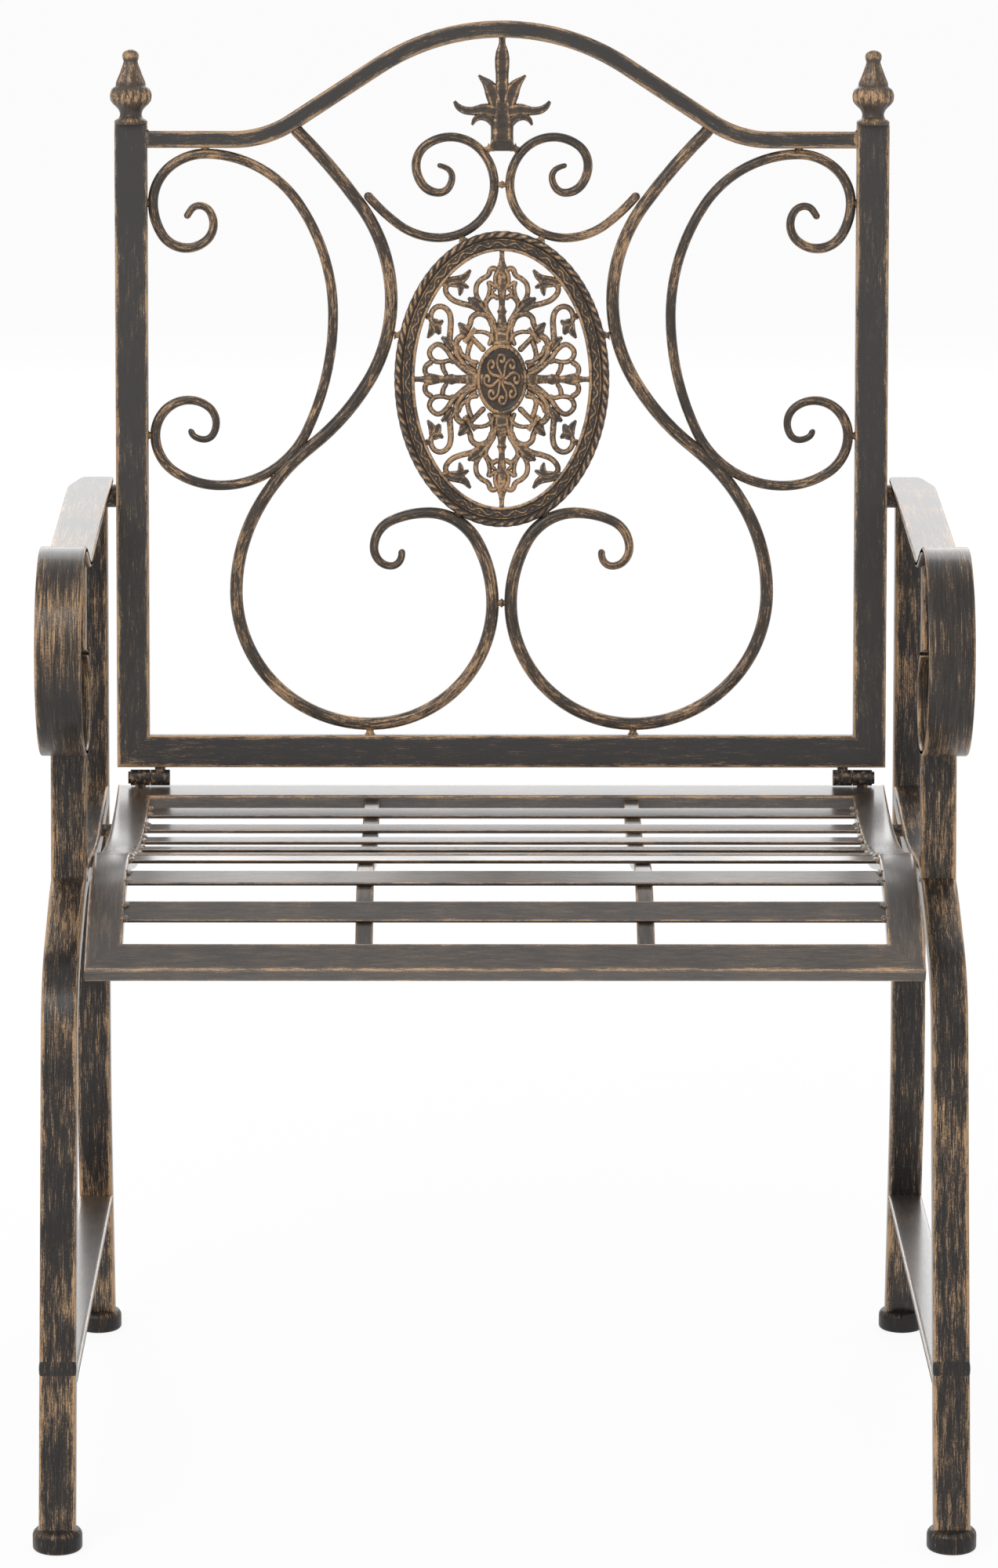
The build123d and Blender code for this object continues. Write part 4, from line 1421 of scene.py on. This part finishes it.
        # Rope, which also bulges outwards
        rope_at, rope_half, rope_start = 12.5, 2.6, 11.0
        place = np.clip((across - rope_at) / rope_half, -1, 1)
        dome = np.sqrt(np.clip(1 - place**2, 0, 1))
        strand = np.abs(np.cos(0.5 * ropes + 1.5 * place))
        rope = dome * (1.4 + 1.5 * strand**0.6)
        relief = np.where(across < edge_stop, edge, np.maximum(np.maximum(vine, bud), rope))
        rim = (across > self.band - 0.05) | (across < 0.05)
        front = np.where(rim, floor, base + relief)
        bulge = 0.35 * (strand**0.6 - 0.6) * np.clip(place, 0, 1)
        wide = across + np.where(across > rope_start, bulge, 0.0)
        behind = np.tile([self.band - slope, slope], (count, 1))
        wide, high = np.hstack([wide, behind]), np.hstack([front, np.full((count, 2), back)])
        flat = unit(angle) * (np.array(self.inner) + wide[..., None]) + [0.0, self.middle]
        ridges = np.maximum(np.maximum(1.2 * vine, 1.2 * bud), dome * strand**1.2)
        ridges = np.where(rim, 0.0, np.where(across < edge_stop, 0.66 * edge, ridges))
        wear = np.hstack([ridges, np.zeros((count, 2))]).clip(0, 1)
        girth = np.r_[across[0], self.band + 5.0, 2 * self.band, 2 * self.band + 5.0]
        return Patch.grid(BACK_SHEET.place(flat, high), np.r_[run, length[-1]], girth, wear, loop=True)

    def spear(self, lengths: Sequence[float], halves: Sequence[float], upright: bool) -> Patch:
        """Moulded spear along an axis of the oval, oval in section and sunk where it is wide.

        Args:
            lengths: distances from the middle of the oval.
            halves: half width at each distance.
            upright: along the tall axis, or else along the wide one.

        Returns:
            The spear.
        """
        first, last = lengths[0], lengths[-1]
        line = straight((0, first), (0, last)) if upright else straight((first, 0), (last, 0))
        gone = np.subtract(lengths, first)
        marks = np.unique(np.r_[np.linspace(0, line.total, 50), gone])
        width = lambda share: np.interp(share * line.total, gone, halves)
        squash, stand = 0.75, 3.2
        section = Profile.rod(1.0, 16, squash, 0.68 + 0.24 * np.abs(np.cos(circle(16))))
        sink = lambda share: -np.clip(squash * width(share) - stand, 0, None)
        return carried(line, self.sheet, section, stations=marks, size=width, off=sink)

    @property
    def sheet(self) -> Sheet:
        """Drawing of the medallion, about its own middle."""
        origin = BACK_SHEET.place(np.array([[0.0, self.middle]]))[0]
        return Sheet(tuple(origin), BACK_SHEET.across, BACK_SHEET.up, BACK_SHEET.normal)

    def quarter(self) -> list[Patch]:
        """Tracery of the upper right quarter.

        Returns:
            Oval strokes, ribbed leaves and a clasp.
        """
        made = []
        sides = 12
        wear = 0.15 + 0.8 * np.sin(circle(sides)).clip(0, 1)
        thin = between([0, 0.3, 1.0], [1.1, 1.0, 0.85])
        for half, *points in self.strokes:
            line = Track.through(points)
            section = Profile.rod(self.stroke_full * half, sides, self.stroke_high / half, wear)
            made.append(carried(line, self.sheet, section, Ending.ROUND, line.stations(2.0, 10.0), thin))
        for *points, half in self.leaves:
            widths = self.leaf_full * half * np.array([0.6, 0.9, 1.0, 0.9, 0.65, 0.3])
            made.append(leaf(self.sheet, Track.through(points), widths, self.leaf_thick, 14))
        clasp = Profile.bar(3.8, 7.6, 0.9, soft=0.5, wear=0.85)
        line = straight((19.4, 37.6), (27.6, 27.0))
        return [*made, carried(line, self.sheet, clasp, off=lambda share: np.full_like(share, 0.9))]

    def boss_patches(self) -> list[Patch]:
        """Oval boss.

        Returns:
            Plate with a raised rim, eight curled scrolls and a rosette, the plate and the rosette as
            rings of an oval at a table of reaches and heights.
        """
        count = 72
        ring = unit(circle(count))
        reach = np.array([0.02, 0.3, 0.6, 0.8, 0.84, 0.87, 0.92, 0.97, 1.0, 1.0, 0.9])
        high = np.array([2.4, 2.4, 2.3, 2.2, 2.6, 4.2, 4.7, 4.0, 2.4, -3.6, -4.0])
        worn = np.array([0.2, 0.1, 0.1, 0.1, 0.3, 0.8, 1.0, 0.9, 0.5, 0.2, 0.1])
        share = np.arange(count + 1) / count
        points = self.sheet.place(reach[:, None, None] * self.boss * ring, high[:, None])
        made = [Patch.grid(points, 20 * reach, 90 * share, np.repeat(worn[:, None], count, 1))]
        wire = Profile.rod(0.95, 10, 1.2, 0.95)
        stretch = np.array([1.0, self.boss[1] / self.boss[0]])
        flat = Sheet((0, 0, 0), (1, 0, 0), (0, 1, 0), (0, 0, 1))
        stem = [(1.6, 0.0, 24), (8.6, 3.6, 8), (13.2, 0.8, 275)]
        line = Track.scroll([*stem, (11.2, -1.9, 185), (9.2, -0.2, 95), (10.4, 1.2, 10)])
        for turn in circle(8):
            curl = carried(line, flat, wire, Ending.ROUND, line.stations(2.0, 14.0))
            (c, s), (x, y, z) = unit(turn), curl.points.T
            spun = np.stack([c * x - s * y, s * x + c * y], 1)
            curl.points = self.sheet.place(spun * stretch, z + 3.0)
            made.append(curl)
        bud = np.linspace(0, pi / 2, 7)
        oval = np.cos(bud)[:, None, None] * ring * [3.0, 3.6]
        petals = 2.2 + 2.4 * np.sin(bud)[:, None] + 0.3 * np.cos(6 * circle(count))
        worn = np.full((len(bud), count), 0.9)
        return [*made, Patch.grid(self.sheet.place(oval, petals), 4 * bud, 20 * share, worn)]

    def build(self) -> None:
        """Build the medallion."""
        beads = [
            stud((75.5, 328.0), (79.5, 328.0), 2.9),
            stud((32.0, 196.5), (34.5, 192.5), 3.2),
            stud((28.5, 397.5), (30.5, 401.5), 3.2),
        ]
        ring = [self.ring(), *beads, *[bead.mirrored() for bead in beads]]
        one = self.quarter()
        half = one + [patch.flipped(self.sheet, True) for patch in one]
        whole = half + [patch.flipped(self.sheet, False) for patch in half]
        up = (
            [22, 26, 30, 33, 36, 40, 45, 48, 49.8, 51.6, 54, 58]
            + [62, 66, 70, 74, 78, 81, 83, 85, 87, 90, 93.5, 96],
            [7.4, 7.4, 7, 6, 5, 4, 3, 2.8, 3.8, 2.8, 2.2, 2.4]
            + [2.9, 3.4, 3.8, 3.8, 3.6, 4, 3.6, 2.8, 2.2, 1.8, 1.8, 2.2],
        )
        side = (
            [14, 18, 24, 30, 34, 37, 39, 41, 43, 46, 50, 53, 55, 57, 60, 63, 66],
            [7.2, 6.6, 3.8, 3.2, 3.2, 4.2, 3.8, 2.8, 2.6, 3, 4, 4.6, 4.2, 2.8, 2.1, 2, 2.6],
        )
        for lengths, halves, upright in ((*up, True), (*side, False)):
            spear = self.spear(lengths, halves, upright)
            whole += [spear, spear.flipped(self.sheet, not upright)]
        for name, patches in (("ring", ring), ("tracery", whole), ("boss", self.boss_patches())):
            cast = self.finishes.cast
            dress(f"medallion_{name}", patches, cast, Body.BACK, "oval_medallion")


@dataclass
class Fleur:
    """Cast fleur-de-lis: a spear, two leaves a side that curl out, two that droop, and a collar."""

    finishes: Finishes
    foot: float = 470.0
    tip: float = 547.2
    collar: tuple = (463.2, 471.8)

    def build(self) -> None:
        """Build the ornament."""
        upper = [(4.0, 494.0), (6.2, 503.0), (9.4, 510.6), (17.3, 518.6)]
        middle = [(2.0, 491.0), (13.0, 493.4), (22.0, 492.5), (28.0, 493.2), (32.4, 495.8), (35.2, 499.6)]
        lower = [(6.0, 483.6), (10.0, 487.4), (15.0, 488.4), (19.5, 486.6), (22.2, 482.2)]
        sides = [
            leaf(BACK_SHEET, Track.through(points), widths, thick, 36)
            for points, widths, thick in (
                (upper, [4.5, 5.2, 5.6, 5.4, 4.2, 2.4, 0.9], 3.0),
                (middle, [4.6, 5.0, 4.9, 4.0, 3.2, 3.0, 2.5, 1.2], 3.4),
                (lower, [3.2, 3.4, 3.2, 2.6, 2.0, 0.9], 2.9),
            )
        ]
        widths = [8.4, 8.2, 8.4, 8.0, 7.4, 6.8, 6.2, 5.4, 4.7, 4.8, 5.3, 5.4, 4.6, 2.4, 2.4]
        spear = leaf(BACK_SHEET, straight((0.0, self.foot), (0.0, self.tip)), widths, 3.6, 48)
        low, high = self.collar
        collar = carried(
            straight((0.0, low), (0.0, high)),
            BACK_SHEET,
            Profile.bar(17.6, 6.8, 1.2, soft=1.0),
            stations=np.linspace(0, high - low, 9),
            size=lambda share: 0.82 + 0.2 * np.sin(pi * share),
        )
        weld = stud((8.0, 466.0), (12.0, 463.4), 3.2)
        patches = [spear, collar, *sides, weld, *[patch.mirrored() for patch in (*sides, weld)]]
        dress("fleur_cast", patches, self.finishes.cast, Body.BACK, "fleur_ornament")


@dataclass
class Hardware:
    """CAD nodes that keep their own shape."""

    finishes: Finishes

    def build(self) -> None:
        """Give each node that is still shown its finish."""
        for name, node in frame["nodes"].items():
            if node.hide_render:
                continue
            node.data.materials.clear()
            node.data.materials.append(self.finishes.black)
            log.info("%s: finish only", name)


@dataclass
class Studio:
    """Pale floor, soft light and the camera of the photograph."""

    floor_half: float = 40.0
    floor_grey: float = 0.9
    floor_glow: float = 0.9
    sky: float = 0.75
    aim: tuple = (0.0, 0.0, 0.5)
    camera_at: tuple = (-0.030, -4.33979, 1.4321)
    pitch: float = 12.445
    yaw: float = 0.355
    roll: float = -0.1
    sensor: float = 36.0
    focal_share: float = 4.0
    sight: float = 200.0

    def build(self) -> None:
        """Build the stage, the lights and the camera."""
        self.floor()
        self.lights()
        self.camera()

    def floor(self) -> None:
        """Broad pale floor, white to the camera and in reflections, that keeps a soft shadow."""
        mesh = bpy.data.meshes.new("floor")
        far = self.floor_half
        mesh.from_pydata([(-far, -far, 0), (far, -far, 0), (far, far, 0), (-far, far, 0)], [], [(0, 1, 2, 3)])
        made = bpy.data.materials.new("white_studio_floor")
        tree = blank(made)
        plain = add(tree, "BsdfDiffuse", {"Color": (*[self.floor_grey] * 3, 1.0)}).outputs[0]
        white = add(tree, "Emission", {"Color": (1.0, 1.0, 1.0, 1.0), "Strength": 1.0}).outputs[0]
        rays = add(tree, "LightPath", {}).outputs
        seen = worked(tree, "MAXIMUM", rays["Is Camera Ray"], rays["Is Glossy Ray"])
        part = worked(tree, "MULTIPLY", seen, self.floor_glow)
        both = add(tree, "MixShader", {0: part, 1: plain, 2: white}).outputs[0]
        add(tree, "OutputMaterial", {"Surface": both})
        mesh.materials.append(made)
        floor = bpy.data.objects.new("floor", mesh)
        bpy.context.scene.collection.objects.link(floor)
        floor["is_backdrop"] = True

    def lights(self) -> None:
        """White surroundings, a broad lamp above and in front, and a broader one behind."""
        world = bpy.data.worlds.new("white_studio")
        bpy.context.scene.world = world
        tree = blank(world)
        sky = add(tree, "Background", {"Color": (1.0, 1.0, 1.0, 1.0), "Strength": self.sky}).outputs[0]
        add(tree, "OutputWorld", {"Surface": sky})
        for name, place, size, power in (
            ("key_lamp", (-1.6, -2.6, 3.2), 2.4, 50.0),
            ("backdrop_lamp", (0.0, 4.2, 2.6), 3.8, 88.0),
        ):
            lamp = bpy.data.lights.new(name, "AREA")
            lamp.size, lamp.energy = size, power
            holder = bpy.data.objects.new(name, lamp)
            holder.location = place
            way = Vector(self.aim) - Vector(place)
            holder.rotation_euler = way.to_track_quat("-Z", "Y").to_euler()
            bpy.context.scene.collection.objects.link(holder)

    def camera(self) -> None:
        """Camera fitted to the photograph's feet, rails and back."""
        pitch, yaw, roll = radians(self.pitch), radians(self.yaw), radians(self.roll)
        ahead = np.array([sin(yaw) * cos(pitch), cos(yaw) * cos(pitch), -sin(pitch)])
        right = np.array([cos(yaw), -sin(yaw), 0.0])
        up = np.cross(right, ahead)
        right = cos(roll) * right - sin(roll) * up
        up = np.cross(right, ahead)
        data = bpy.data.cameras.new("photo_camera")
        data.sensor_fit = "VERTICAL"
        data.sensor_height = self.sensor
        data.lens = self.sensor * self.focal_share
        data.clip_end = self.sight
        camera = bpy.data.objects.new("photo_camera", data)
        turn = Matrix(np.stack([right, up, -ahead], 1).tolist()).to_4x4()
        camera.matrix_world = Matrix.Translation(self.camera_at) @ turn
        bpy.context.scene.collection.objects.link(camera)
        bpy.context.scene.camera = camera


def main() -> None:
    """Build the chair, piece by piece, and its studio."""
    logging.basicConfig(level=logging.INFO, format="%(message)s")
    bpy.context.scene.view_settings.view_transform = "Standard"
    finishes = Finishes()
    for assembly in (SideFrame, Seat, BackFrame, Scrollwork, Medallion, Fleur, Hardware):
        assembly(finishes).build()
    Studio().build()
    boxes = {"cad": CAD_BOX, "visual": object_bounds()}
    {key: [list(map(float, corner)) for corner in box] for key, box in boxes.items()}


if __name__ == "__main__":
    main()
